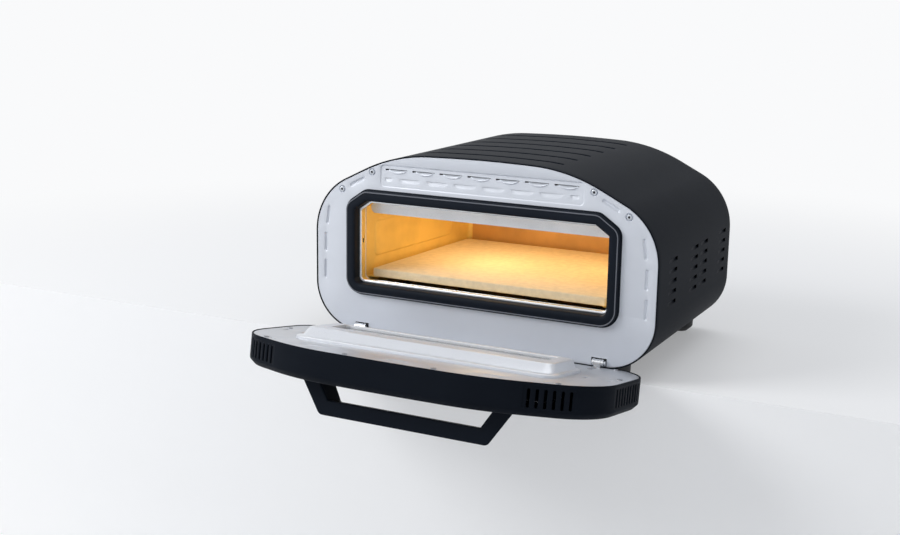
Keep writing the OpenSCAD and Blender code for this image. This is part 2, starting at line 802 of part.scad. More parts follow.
module lamp_bulb() {
    color([0.95, 0.9, 0.7]) {
        rod_x(lamp_out + 12, lamp_out + 26, front_y + lamp_y, base_z + lamp_z, 6);
        translate([lamp_out + 12, front_y + lamp_y, base_z + lamp_z]) sphere(r = 6, $fn = round_fn);
        rod_x(lamp_out + 26 - sliver, lamp_out + 32, front_y + lamp_y, base_z + lamp_z, 3);
    }
}

module lamp_glass() {
    color([0.9, 0.92, 0.95, 0.5]) {
        rod_x(lamp_x - 4, lamp_x - 1.5, front_y + lamp_y, base_z + lamp_z, lamp_r);
        rod_x(lamp_x - 1.5 - sliver, lamp_x + 5, front_y + lamp_y, base_z + lamp_z, lamp_r - 3.1);
    }
}

module insulation() {
    gap = 0.5;
    color([0.85, 0.83, 0.75]) difference() {
        intersection() {
            slab(collar_d + 6, cavity_d - 4) cavity_outline(liner_t + gap + insulation_t);
            cavity_plan(liner_t + gap + insulation_t);
        }
        intersection() {
            slab(0, body_d) cavity_outline(liner_t + gap);
            cavity_plan(liner_t + gap);
        }
        rod_x(lamp_x - 4, lamp_x + 60, front_y + lamp_y, base_z + lamp_z, lamp_r + 0.5);
    }
}

// ---- Stone ----------------------------------------------------------------

module pizza_stone() {
    edge = 1.5;
    module plan(d) {
        polygon(rounded(inset_corners(
            [[-stone_w / 2, stone_y], [stone_w / 2, stone_y], [stone_w / 2 - stone_taper, stone_y + stone_d],
             [stone_taper - stone_w / 2, stone_y + stone_d]], d),
            [4 - d, 4 - d, stone_corner_r - d, stone_corner_r - d]));
    }
    color([0.90, 0.82, 0.66]) translate([0, front_y, base_z + stone_z]) hull() {
        linear_extrude(stone_t) plan(edge);
        translate([0, 0, edge]) linear_extrude(stone_t - 2 * edge) plan(0);
    }
}

// ---- Hinges ---------------------------------------------------------------

ear_t = 3;
ear_r = 4.6;
barrel_r = 4.5;
ear_gap = 0.3;
bracket_z = 1.2 + shell_t;        // top of the base plate, above the shell's underside

module hinge_bracket(side) {
    ear_x = barrel_w / 2 + ear_gap;
    color(silver) mirror([side < 0 ? 1 : 0, 0, 0]) translate([hinge_x, 0, 0]) {
        difference() {
            for (ear = [-1, 1]) translate([ear > 0 ? ear_x : -ear_x - ear_t, 0, 0]) {
                rod_x(0, ear_t, hinge_y, hinge_z, ear_r);
                translate([0, hinge_y, hinge_z - ear_r]) cube([ear_t, 18, 2 * ear_r]);
            }
            rod_x(-30, 30, hinge_y, hinge_z, hinge_pin_r + 0.02);
        }
        translate([-ear_x - ear_t, front_y + flange_back + 2, base_z + bracket_z])
            cube([2 * (ear_x + ear_t), 12, 2]);
    }
}

module hinge_pins() {
    pin_x = barrel_w / 2 + ear_gap + ear_t + 1;
    color(silver) both_sides() translate([hinge_x, 0, 0]) {
        rod_x(-pin_x, pin_x, hinge_y, hinge_z, hinge_pin_r);
        rod_x(pin_x - sliver, pin_x + 1.2, hinge_y, hinge_z, hinge_pin_r + 1.2);
    }
}

arm_len = 44;
arm_t = 2;
arm_screws = [24, 37];
hinge_t = hinge_front - door_gap;      // the hinge axis in the door's own coordinates

module hinge_arm(side) {
    color(silver) door_frame() mirror([side < 0 ? 1 : 0, 0, 0]) translate([hinge_x, 0, 0]) difference() {
        union() {
            rod_x(-barrel_w / 2, barrel_w / 2, hinge_up, hinge_t, barrel_r);
            translate([-barrel_w / 2, hinge_up, hinge_t]) cube([barrel_w, barrel_r, panel_back + arm_t - hinge_t]);
            translate([-barrel_w / 2, hinge_up, panel_back]) cube([barrel_w, arm_len - hinge_up, arm_t]);
        }
        rod_x(-30, 30, hinge_up, hinge_t, hinge_pin_r + run_gap);
        for (s = arm_screws) translate([0, s, -20]) cylinder(h = 40, r = screw_r + 0.1, $fn = round_fn);
    }
}

// ---- Door -----------------------------------------------------------------

ledge_w = 6;
ledge_t = 2;
panel_back = panel_recess + panel_t;
door_face = door_t - door_wall;         // inner side of the door's outer face
control_s0 = body_h - 50;
control_s1 = body_h - 19;
control_x = 112;
control_s = (control_s0 + control_s1) / 2;
handle_s0 = handle_s1 - handle_w;
handle_leg_w = 26;
handle_screw_s = (handle_s0 + handle_s1) / 2;
handle_screw_x = handle_root_x - 19.5;
handle_screw_len = 12;
handle_end_slope = atan2(handle_tip_x - handle_root_x, handle_out - door_t);

// The door's outline: the body's, with the lower edge trimmed
module door_outline(d = 0) {
    intersection() {
        body_outline(d);
        translate([-long / 2, door_trim + d]) square([long, long]);
    }
}

// A solid that follows the door's outline and has its bevel, d inside it
module door_block(t0, d) {
    t1 = door_t - d;
    bevel_t0 = door_t - door_bevel_t - d * 0.4;
    union() {
        translate([0, 0, t0]) linear_extrude(bevel_t0 - t0) door_outline(d);
        hull() {
            translate([0, 0, bevel_t0 - sliver]) linear_extrude(sliver) door_outline(d);
            translate([0, 0, t1 - sliver]) linear_extrude(sliver) door_outline(d + door_bevel_w);
        }
    }
}

// Place and outward angle at distance u along the shoulder, from its upper tangent point
shoulder_edge = [shoulder_run, crown_h - side_drop];
shoulder_dir = shoulder_edge / norm(shoulder_edge);
shoulder_start = [shoulder_x, body_h - crown_h] + shoulder_dir * 50;

module vent_slot_cut() {
    rotate([90, 0, 0]) linear_extrude(30, center = true) rotate(90) slot_2d(slot_len, slot_w);
}

slot_t = 18.5;                          // middle of the vent slots, outwards from the rim plane

module shoulder_vent_cuts() {
    for (i = [0:shoulder_slots - 1]) {
        p = shoulder_start + shoulder_dir * (i * slot_pitch - 6);
        translate([p.x, p.y, slot_t]) rotate([0, 0, atan2(shoulder_dir.y, shoulder_dir.x)]) vent_slot_cut();
    }
}

module end_vent_cuts() {
    for (i = [0:end_slots - 1])
        translate([body_w / 2, 52 + i * (side_h - 104) / (end_slots - 1), slot_t - 1.5])
            rotate([0, 0, 90]) vent_slot_cut();
}

// Room for the hinge arm in the door's lower edge
module arm_notch(t1) {
    translate([hinge_x - barrel_w / 2 - 1, 0, -1]) cube([barrel_w + 2, hinge_up + barrel_r + 1, t1 + 1]);
    translate([hinge_x - barrel_w / 2 - 1, 0, panel_back - sliver]) cube([barrel_w + 2, 20, max(0.1, t1 - panel_back)]);
}

// Posts of the housing that take the inner panel's screws
module screw_posts() {
    for (p = panel_screws) translate([p.x, p.y, panel_back]) cylinder(h = door_face - panel_back + 1, r = 4, $fn = round_fn);
}

module door_housing() {
    color(black) door_frame() difference() {
        union() {
            difference() {
                door_block(0, 0);
                door_block(-1, door_wall);
            }
            translate([0, 0, panel_back]) linear_extrude(ledge_t) difference() {
                door_outline(door_wall - sliver);
                door_outline(door_wall + ledge_w);
            }
            screw_posts();
        }
        translate([0, 0, door_face - 5]) linear_extrude(20)
            rounded_rect(-outer_window_x, outer_window_s0, outer_window_x, outer_window_s1, 10);
        translate([0, 0, door_face - 5]) linear_extrude(20)
            rounded_rect(-control_x, control_s0, control_x, control_s1, 8);
        for (side = [-1, 1]) translate([side * handle_screw_x, handle_screw_s, door_face - 5])
            cylinder(h = 20, r = 2.7, $fn = round_fn);
        both_sides() shoulder_vent_cuts();
        both_sides() end_vent_cuts();
        for (p = panel_screws) translate([p.x, p.y, -1]) cylinder(h = 9, r = screw_r + 0.1, $fn = round_fn);
        both_sides() arm_notch(panel_back + arm_t + 1);
    }
}

panel_screws = [for (side = [-1, 1]) each [
    [side * (body_w / 2 - 47), 15], [side * (body_w / 2 - 14), side_h / 2], [side * (body_w / 2 - 50), side_h + 13],
    [side * (shoulder_x - 66), body_h - 13]]];
// Sunken marks of the inner panel: middle, length and turn
panel_dimples = [
    [body_w / 2 - 45, side_h - 72, 20, 90], [body_w / 2 - 18, side_h - 72, 20, 90],
    [shoulder_x - 3, side_h + 27, 22, 0], [40, body_h - 32, 22, 0]
];

module door_inner_panel() {
    color(silver) door_frame() difference() {
        union() {
            translate([0, 0, panel_recess]) linear_extrude(panel_t) door_outline(door_wall + 0.2);
            both_sides() for (d = panel_dimples)
                translate([d.x, d.y, panel_back - sliver]) linear_extrude(0.9) rotate(d[3]) slot_2d(d[2], 6);
        }
        translate([0, 0, -5]) linear_extrude(30)
            rounded_rect(-frame_x + 4, frame_s0 + 4, frame_x - 4, frame_s1 - 4, 8);
        for (p = panel_screws) translate([p.x, p.y, -5]) cylinder(h = 30, r = screw_r + 0.1, $fn = round_fn);
        both_sides() for (s = arm_screws) translate([hinge_x, s, -5]) cylinder(h = 30, r = screw_r + 0.1, $fn = round_fn);
        both_sides() for (d = panel_dimples)
            translate([d.x, d.y, panel_recess]) mirror([0, 0, 1]) rotate([0, 0, d[3]]) dimple_cut(d[2] - 2, 4, 1);
        both_sides() arm_notch(panel_back);
    }
}

module door_panel_screws() {
    color(silver) door_frame() {
        for (p = panel_screws) translate([p.x, p.y, panel_recess]) mirror([0, 0, 1]) screw(3.4, 1.3, screw_r, 5);
        both_sides() for (s = arm_screws) translate([hinge_x, s, panel_recess])
            mirror([0, 0, 1]) screw(3.2, 1.2, screw_r, 7);
    }
}

frame_sheet = 1.2;
frame_step = 3.8;                         // height of the frame's flange, from the inner panel up
frame_flange = 5;                         // width of this flange beside the frame
frame_top_x = frame_x - 5.5;
frame_top_s0 = frame_s0 + 4;
frame_top_s1 = frame_s1 - 12;
glass_top = -frame_h + 4;                // upper side of the inner glass

module frame_block(d) {
    hull() {
        translate([0, 0, -sliver]) linear_extrude(sliver + panel_recess)
            rounded_rect(-frame_x + d, frame_s0 + d, frame_x - d, frame_s1 - d, 14 - d);
        translate([0, 0, -frame_h + d]) linear_extrude(sliver)
            rounded_rect(-frame_top_x + d, frame_top_s0 + d, frame_top_x - d, frame_top_s1 - d, 12 - d);
    }
}

module window_frame() {
    color(silver) door_frame() difference() {
        union() {
            difference() {
                frame_block(0);
                translate([0, 0, 1]) frame_block(frame_sheet);
            }
            translate([0, 0, panel_recess - frame_step]) linear_extrude(frame_step) difference() {
                rounded_rect(-frame_x - frame_flange, frame_s0 - 2.5, frame_x + frame_flange, frame_s1 + 7, 18);
                rounded_rect(-frame_x + 3, frame_s0 + 3, frame_x - 3, frame_s1 - 3, 12);
            }
            translate([0, 0, -frame_h + frame_sheet - sliver]) linear_extrude(4 - frame_sheet) difference() {
                rounded_rect(-window_x - 1.2, window_s0 - 1.2, window_x + 1.2, window_s1 + 1.2, 7.2);
                rounded_rect(-window_x, window_s0, window_x, window_s1, 6);
            }
        }
        translate([0, 0, -frame_h - 5]) linear_extrude(frame_h + 4)
            rounded_rect(-window_x, window_s0, window_x, window_s1, 6);
    }
}

module inner_glass() {
    color([0.8, 0.85, 0.9, 0.5]) door_frame() translate([0, 0, glass_top]) linear_extrude(glass_t)
        rounded_rect(-window_x - 7, window_s0 - 4, window_x + 7, window_s1 + 7, 5);
}

module outer_glass() {
    color([0.1, 0.1, 0.12, 0.6]) door_frame() translate([0, 0, door_t - 0.8 - glass_t]) linear_extrude(glass_t)
        rounded_rect(-outer_window_x + 0.3, outer_window_s0 + 0.3, outer_window_x - 0.3, outer_window_s1 - 0.3, 9.7);
}

// A frame between the two glasses that carries both
module window_seal() {
    color([0.1, 0.1, 0.11]) door_frame() translate([0, 0, glass_top + glass_t])
        linear_extrude(door_t - 0.8 - 2 * glass_t - glass_top) difference() {
            rounded_rect(-window_x - 6, window_s0 - 4, window_x + 6, window_s1 + 8, 5);
            rounded_rect(-window_x + 1, window_s0 + 3, window_x - 1, window_s1 + 1, 3);
        }
}

// The handle's side view, as (x, out): a trapezoid loop open towards the door
module handle_profile() {
    difference() {
        polygon(rounded(
            [[-handle_root_x, door_t], [handle_root_x, door_t], [handle_tip_x, handle_out],
             [-handle_tip_x, handle_out]], [0, 0, 9, 9]));
        polygon([
            [-handle_root_x + handle_leg_w, door_t - 1], [handle_root_x - handle_leg_w, door_t - 1],
            [handle_tip_x - handle_leg_w * 0.45, handle_out - grip_t],
            [-handle_tip_x + handle_leg_w * 0.45, handle_out - grip_t]
        ]);
    }
}

module door_handle() {
    color(black) door_frame() difference() {
        translate([0, handle_s1, 0]) rotate([90, 0, 0]) linear_extrude(handle_w) handle_profile();
        // The grip thins towards its lower edge, to make room for the fingers
        rotate([90, 0, 90]) linear_extrude(2 * (handle_tip_x - handle_leg_w * 0.45) - 2, center = true)
            polygon([[handle_s1 - 2, handle_out - grip_t - 1], [handle_s1 - 2, handle_out - grip_t],
                     [handle_s0 - 1, handle_out - grip_t + 6], [handle_s0 - 1, handle_out - grip_t - 1]]);
        // The ends slope in towards the same edge
        both_sides() translate([handle_root_x, handle_s1, door_t]) rotate([0, handle_end_slope, 0])
            rotate([0, 0, -atan2(handle_draft, handle_w)]) translate([0, -2 * handle_w, -handle_out])
                cube([handle_w, 3 * handle_w, 3 * handle_out]);
        for (side = [-1, 1]) translate([side * handle_screw_x, handle_screw_s, 0])
            cylinder(h = door_t + handle_screw_len, r = 2.1, $fn = round_fn);
    }
}

module handle_screws() {
    color(silver) door_frame() for (side = [-1, 1])
        translate([side * handle_screw_x, handle_screw_s, door_face]) mirror([0, 0, 1]) 
            screw(4.5, 2.4, 2.08, handle_screw_len + door_t - door_face - 0.2);
}

// ---- Controls in the door -------------------------------------------------

control_t = 4;
switch_h = 7;
button_xs = [for (side = [-1, 1]) for (i = [0:2]) side * (button_x + i * button_pitch)];
display_x = 34;
display_h = 20;
board_t = 1.6;
board_out = door_t - 20;              // outer side of the circuit board

module control_panel() {
    color([0.05, 0.05, 0.06]) door_frame() difference() {
        union() {
            translate([0, 0, door_t - control_t]) linear_extrude(control_t)
                rounded_rect(-control_x + 0.3, control_s0 + 0.3, control_x - 0.3, control_s1 - 0.3, 7.7);
            translate([0, 0, door_face - 1.8]) linear_extrude(1.5)
                rounded_rect(-control_x - 2, control_s0 - 3, control_x + 2, control_s1 + 1, 7.7);
        }
        for (x = button_xs) translate([x, control_s, 0])
            cylinder(h = long, r = button_r + fit_gap, $fn = round_fn);
        translate([0, 0, door_t - 1.5]) linear_extrude(10)
            rounded_rect(-display_x, control_s - display_h / 2, display_x, control_s + display_h / 2, 3);
    }
}

module display_window() {
    color([0.02, 0.02, 0.03]) door_frame() translate([0, 0, door_t - 1.5]) linear_extrude(1.5)
        rounded_rect(-display_x + 0.2, control_s - display_h / 2 + 0.2,
                     display_x - 0.2, control_s + display_h / 2 - 0.2, 2.8);
}

module control_board() {
    color([0.1, 0.35, 0.2]) door_frame() {
        translate([-control_x, control_s0 - 2, board_out - board_t])
            cube([2 * control_x, control_s1 - control_s0 + 2, board_t]);
        for (x = [-control_x + 6, -30, 30, control_x - 6]) translate([x, control_s, board_out - sliver])
            cylinder(h = door_face - 1.8 - board_out + sliver, r = 3, $fn = round_fn);
    }
}

module button_switches() {
    color([0.2, 0.2, 0.22]) door_frame() for (x = button_xs)
        translate([x - 6, control_s - 6, board_out]) cube([12, 12, switch_h]);
}

// A push button with a dished cap and a stem that reaches its switch; places count from the left
module button(place) {
    cap_top = door_t + button_out;
    stem_in = board_out + switch_h + button_travel + fit_gap;
    x = (place < 3 ? -1 : 1) * (button_x + (place < 3 ? 2 - place : place - 3) * button_pitch);
    color([0.75, 0.77, 0.8]) door_frame() translate([x, control_s, 0]) difference() {
        union() {
            translate([0, 0, stem_in]) cylinder(h = cap_top - stem_in, r = button_r - 2.5, $fn = round_fn);
            translate([0, 0, door_t - control_t]) cylinder(h = control_t + button_out, r = button_r, $fn = round_fn);
        }
        translate([0, 0, cap_top + 29.4]) sphere(r = 30, $fn = round_fn);
    }
}

// ---- Assembly -------------------------------------------------------------

outer_shell();
base_plate();
back_panel();
back_panel_screws();
front_plate();
front_plate_screws();
door_seal();
throat_collar();
cavity_liner();
cavity_back();
heat_deflector();
stone_rail(-1);  // stone_rail_left
stone_rail(1);  // stone_rail_right
heating_element(element_z);  // upper_element
heating_element(lower_element_z);  // lower_element
element_clips();
temperature_probe();
lamp_holder();
lamp_bulb();
lamp_glass();
insulation();
foot_at(-1, -1);  // foot_front_left
foot_at(1, -1);  // foot_front_right
foot_at(-1, 1);  // foot_back_left
foot_at(1, 1);  // foot_back_right
foot_screws();
power_inlet();
inlet_pins();
hinge_bracket(-1);  // hinge_bracket_left
hinge_bracket(1);  // hinge_bracket_right
hinge_pins();
pizza_stone();
door_housing();
door_inner_panel();
door_panel_screws();
window_frame();
inner_glass();
outer_glass();
window_seal();
door_handle();
handle_screws();
hinge_arm(-1);  // hinge_arm_left
hinge_arm(1);  // hinge_arm_right
control_panel();
display_window();
control_board();
button_switches();
button(0);  // power_button
button(1);  // cooler_button
button(2);  // hotter_button
button(3);  // shorter_button
button(4);  // longer_button
button(5);  // light_button
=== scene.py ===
import math

import bmesh
import bpy
import numpy as np
from mathutils import Matrix, Vector
from mathutils.geometry import delaunay_2d_cdt


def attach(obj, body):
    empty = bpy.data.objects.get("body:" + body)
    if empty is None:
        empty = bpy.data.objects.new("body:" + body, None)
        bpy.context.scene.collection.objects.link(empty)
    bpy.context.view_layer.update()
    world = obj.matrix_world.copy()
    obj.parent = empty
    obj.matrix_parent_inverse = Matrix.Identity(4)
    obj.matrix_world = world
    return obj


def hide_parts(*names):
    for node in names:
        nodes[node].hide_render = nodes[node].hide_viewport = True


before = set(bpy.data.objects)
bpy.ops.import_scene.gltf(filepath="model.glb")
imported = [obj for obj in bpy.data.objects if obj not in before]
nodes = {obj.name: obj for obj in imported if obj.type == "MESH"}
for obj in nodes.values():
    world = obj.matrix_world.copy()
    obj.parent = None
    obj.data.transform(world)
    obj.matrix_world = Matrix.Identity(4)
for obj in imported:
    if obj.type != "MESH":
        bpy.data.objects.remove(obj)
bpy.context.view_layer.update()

# ---- Sizes, in millimetres, as in the CAD model ---------------------------

MM = 0.001
BODY_D = 324.0
FRONT_Y, BASE_Z = -162.0, 16.0  # the body's front edge and underside in the row frame
HINGE_X, HINGE_Y, HINGE_Z = 176, FRONT_Y - 1.1, BASE_Z + 7.4
DOOR_GAP = 6.0  # between the body's front edge and the closed door
DOOR_OPEN = 80.1  # degrees, at rest
DOOR_T = 40.0
DOOR_TRIM = 5.5  # how high above the body's underside the door's lower edge is
SHELL_T = 1.5
PLATE_RECESS = 1.0
THROAT_X = 183.5
BODY_X, BODY_TOP = 250, 256
BODY_CORNERS = [
    (-BODY_X, 0), (BODY_X, 0), (BODY_X, 190), (126, 252), (0, BODY_TOP), (-126, 252), (-BODY_X, 190),
]
BODY_RADII = [67, 67, 85, 232, 1799, 232, 85]
THROAT_CORNERS = [
    (-THROAT_X, 70), (THROAT_X, 70), (THROAT_X, 172.5), (165.5, 185), (-165.5, 185), (-THROAT_X, 172.5),
]
THROAT_RADII = [8, 8, 2, 2, 2, 2]


# ---- Outlines -------------------------------------------------------------


def mitres(pts):
    """For each corner of a counter-clockwise outline, the step inward that keeps edges parallel."""
    p = np.asarray(pts, float)
    e = np.roll(p, -1, 0) - p
    n = np.stack([-e[:, 1], e[:, 0]], 1) / np.linalg.norm(e, axis=1)[:, None]
    before = np.roll(n, 1, 0)
    return (before + n) / (1 + (before * n).sum(1))[:, None], before, n


def outline(corners, radii, d, step):
    """The corners moved d inward and rounded, with a point at least every step degrees of an arc.

    The number of points doesn't depend on d.
    """
    p = np.asarray(corners, float)
    m, before, after = mitres(p)
    out = []
    for i in range(len(p)):
        turn = math.degrees(math.acos(max(-1, min(1, float(before[i] @ after[i])))))
        r0 = radii[i]
        if r0 <= 0:
            out.append(p[i] + m[i] * d)
            continue
        r = max(r0 - d, 0.02)
        c = p[i] + m[i] * (d + r)
        a0 = math.atan2(-before[i][1], -before[i][0])
        count = max(4, math.ceil(turn / step))
        for k in range(count + 1):
            a = a0 + math.radians(turn) * k / count
            out.append(c + r * np.array([math.cos(a), math.sin(a)]))
    return np.array(out)


def body_ring(d=0.0):
    return outline(BODY_CORNERS, BODY_RADII, d, 2.5)


def throat_ring(d=0.0):
    """The throat's outline, d outside its inner face."""
    return outline(THROAT_CORNERS, THROAT_RADII, -d, 9.0)


def door_outline():
    """The body's outline with its lower edge trimmed, starting at the middle of that edge."""
    ring = body_ring()
    out = []
    for a, b in zip(ring, np.roll(ring, -1, 0)):
        if a[1] >= DOOR_TRIM:
            out.append(a)
        if (a[1] - DOOR_TRIM) * (b[1] - DOOR_TRIM) < 0:
            out.append(a + (b - a) * (DOOR_TRIM - a[1]) / (b[1] - a[1]))
    out = np.array(out)
    first = int(np.argmax((out[:, 1] < DOOR_TRIM + 0.01) & (out[:, 0] > 0)))
    return np.vstack([[(0, DOOR_TRIM)], np.roll(out, -first, 0)])


DOOR_BASE = door_outline()
DOOR_MITRE = mitres(DOOR_BASE)[0]


def door_ring(d=0.0):
    return DOOR_BASE + DOOR_MITRE * d


def rect(x0, y0, x1, y1, r):
    """A rectangle with round corners, as a loop that can be inset."""
    corners = [(x0, y0), (x1, y0), (x1, y1), (x0, y1)]
    return lambda d=0.0: outline(corners, [r] * 4, d, 9.0)


def slot(cx, cy, length, width, angle=0.0, along=0):
    """A slot with round ends, as a loop that can be inset; along is its straight sides' parts."""

    def loop(d=0.0):
        r = width / 2 - d
        half = (length - width) / 2
        count = 12
        pts = []
        for side in (1, -1):
            start = -90 if side > 0 else 90
            for k in range(count + 1):
                a = math.radians(start + 180 * k / count)
                pts.append((side * half + r * math.cos(a), r * math.sin(a)))
            for k in range(1, along):
                pts.append((side * half * (1 - 2 * k / along), side * r))
        a = math.radians(angle)
        turn = np.array([[math.cos(a), math.sin(a)], [-math.sin(a), math.cos(a)]])
        return np.array(pts) @ turn + (cx, cy)

    return loop


def disc(cx, cy, r, count=32):
    """A circle, as a loop that can be inset."""
    a = np.linspace(0, 2 * math.pi, count, endpoint=False)
    return lambda d=0.0: np.stack([cx + (r - d) * np.cos(a), cy + (r - d) * np.sin(a)], 1)


def dense(loop, widest):
    """The same loop with points no further apart than widest, so that it follows a curved face."""
    first = loop(0)
    gaps = np.linalg.norm(np.roll(first, -1, 0) - first, axis=1)
    counts = [max(1, math.ceil(gap / widest)) for gap in gaps]

    def finer(d=0.0):
        p = loop(d)
        pairs = zip(p, np.roll(p, -1, 0), counts)
        return np.vstack([a + (b - a) * np.arange(n)[:, None] / n for a, b, n in pairs])

    return finer


# ---- Places ---------------------------------------------------------------


def body_at(x, y, z):
    """x, depth behind the front edge and height, into the row frame."""
    return np.stack(np.broadcast_arrays(x, FRONT_Y + y, BASE_Z + z), -1).astype(float)


def door_at(x, s, t):
    """x, height on the closed door and distance outward, into the row frame with the door open."""
    a = math.radians(DOOR_OPEN)
    y = FRONT_Y - DOOR_GAP - t - HINGE_Y
    z = BASE_Z + s - HINGE_Z
    turned = (
        HINGE_Y + y * math.cos(a) - z * math.sin(a),
        HINGE_Z + y * math.sin(a) + z * math.cos(a),
    )
    return np.stack(np.broadcast_arrays(x, *turned), -1).astype(float)


class Wrap:
    """Positions on a band that follows an outline: u runs round it, v across it, depth inward."""

    def __init__(self, ring, place):
        self.ring = np.vstack([ring, ring[:1]])
        m = mitres(ring)[0]
        self.mitre = np.vstack([m, m[:1]])
        sides = np.linalg.norm(np.diff(self.ring, axis=0), axis=1)
        self.u = np.concatenate([[0], np.cumsum(sides)])
        self.place = place
        self.length = self.u[-1]

    def flat(self, u, depth):
        """The outline's own coordinates at u, depth inside it."""
        u = np.asarray(u, float)
        return [
            np.interp(u, self.u, self.ring[:, k]) + np.interp(u, self.u, self.mitre[:, k]) * depth
            for k in (0, 1)
        ]

    def __call__(self, u, v, depth):
        x, z = self.flat(u, depth)
        return self.place(x, z, v)

    def u_of(self, x, z):
        """The place round the outline that is nearest to (x, z)."""
        best = None
        for i in range(len(self.u) - 1):
            a, b = self.ring[i], self.ring[i + 1]
            f = np.clip(((x, z) - a) @ (b - a) / max((b - a) @ (b - a), 1e-9), 0, 1)
            gap = np.linalg.norm(a + (b - a) * f - (x, z))
            if best is None or gap < best[0]:
                best = (gap, self.u[i] + f * (self.u[i + 1] - self.u[i]))
        return float(best[1])

    def columns(self, widest):
        """Places round the outline no further apart than widest, at all of its points."""
        out = []
        for a, b in zip(self.u[:-1], self.u[1:]):
            count = max(1, math.ceil((b - a) / widest))
            out += list(a + (b - a) * np.arange(count) / count)
        return np.array(out + [self.length])

    def band(self, widest, low, high):
        """The outline of the whole band between two places across it, and its columns."""
        columns = self.columns(widest)
        edges = [np.stack([columns, np.full(len(columns), v)], 1) for v in (low, high)]
        return np.vstack([edges[0], edges[1][::-1]]), columns

    def rims(self, mesh, columns, stations):
        """Strips all the way round, through stations of (depth, place across the band)."""
        rings = [self(columns, np.full(len(columns), v), d) for d, v in stations]
        mesh.strips(rings, closed=False)


# ---- Meshes ---------------------------------------------------------------

SHARP = 32  # degrees between faces, above which an edge stays sharp
MERGE = 0.004  # points closer together than this become one
CLEAR = 0.35  # a filling's inner points stay this far from the points of its loops


class Mesh:
    """Points in millimetres, faces and each face's material number."""

    def __init__(self):
        self.verts = []
        self.faces = []
        self.marks = []
        self.count = 0

    def add(self, verts, faces, mark=0):
        verts = np.asarray(verts, float).reshape(-1, 3)
        self.verts.append(verts)
        self.faces += [tuple(int(i) + self.count for i in f) for f in faces]
        self.marks += [mark] * len(faces)
        self.count += len(verts)

    def strips(self, rings, closed=True, mark=0):
        """Quads between rings of the same number of points."""
        rings = [np.asarray(r, float) for r in rings]
        n = len(rings[0])
        faces = []
        last = n if closed else n - 1
        for k in range(len(rings) - 1):
            for i in range(last):
                j = (i + 1) % n
                faces.append((k * n + i, k * n + j, (k + 1) * n + j, (k + 1) * n + i))
        self.add(np.vstack(rings), faces, mark)

    def fill(self, loops, place, depth=0.0, grid=None, mark=0):
        """Triangles between the first loop and the others, through the grid's points."""
        loops = [np.asarray(loop, float) for loop in loops]
        pts = [Vector(p) for loop in loops for p in loop]
        edges = []
        start = 0
        for loop in loops:
            n = len(loop)
            edges += [(start + i, start + (i + 1) % n) for i in range(n)]
            start += n
        if grid is not None:
            g = np.asarray(grid, float)
            keep = odd(g, loops)
            for loop in loops:
                keep &= clearance(g, loop) > CLEAR
            pts += [Vector(p) for p in g[keep]]
        verts, _, faces, _, _, _ = delaunay_2d_cdt(pts, edges, [], 0, 1e-5)
        v = np.array([tuple(p) for p in verts])
        f = np.array([tuple(t) for t in faces if len(t) == 3])
        f = f[odd(v[f].mean(1), loops)]
        self.add(place(v[:, 0], v[:, 1], depth), f, mark)

    def sink(self, loop, stations, place, cap=True, grid=None, holes=(), mark=0):
        """A feature whose walls step inward and down from its loop; returns the loop round it."""
        self.strips([place(*loop(d).T, depth) for d, depth in stations], mark=mark)
        if cap:
            d, depth = stations[-1]
            self.fill([loop(d), *holes], place, depth, grid, mark)
        return loop(0)

    def object(self, name, materials, body, angle=SHARP):
        data = bpy.data.meshes.new(name)
        data.from_pydata((np.vstack(self.verts) * MM).tolist(), [], self.faces)
        for m in materials:
            data.materials.append(m)
        data.polygons.foreach_set("material_index", self.marks)
        bm = bmesh.new()
        bm.from_mesh(data)
        bmesh.ops.remove_doubles(bm, verts=bm.verts, dist=MERGE * MM)
        bmesh.ops.dissolve_degenerate(bm, edges=bm.edges, dist=1e-7)
        bmesh.ops.recalc_face_normals(bm, faces=bm.faces)
        bm.to_mesh(data)
        bm.free()
        data.shade_smooth()
        data.set_sharp_from_angle(angle=math.radians(angle))
        obj = bpy.data.objects.new(name, data)
        bpy.context.scene.collection.objects.link(obj)
        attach(obj, body)
        return obj


def odd(points, loops):
    """Which points lie inside an odd number of loops."""
    inside = np.zeros(len(points), bool)
    x, y = points[:, 0], points[:, 1]
    for loop in loops:
        a = np.asarray(loop)
        b = np.roll(a, -1, 0)
        for (ax, ay), (bx, by) in zip(a, b):
            if ay != by:
                cross = (ay > y) != (by > y)
                inside ^= cross & (x < (bx - ax) * (y - ay) / (by - ay) + ax)
    return inside


def clearance(points, loop):
    """Distance from each point to the loop's own points."""
    best = np.full(len(points), 1e9)
    for p in np.asarray(loop):
        best = np.minimum(best, np.hypot(points[:, 0] - p[0], points[:, 1] - p[1]))
    return best


def grid_of(us, vs):
    u, v = np.meshgrid(us, vs)
    return np.stack([u.ravel(), v.ravel()], 1)


# ---- Materials ------------------------------------------------------------


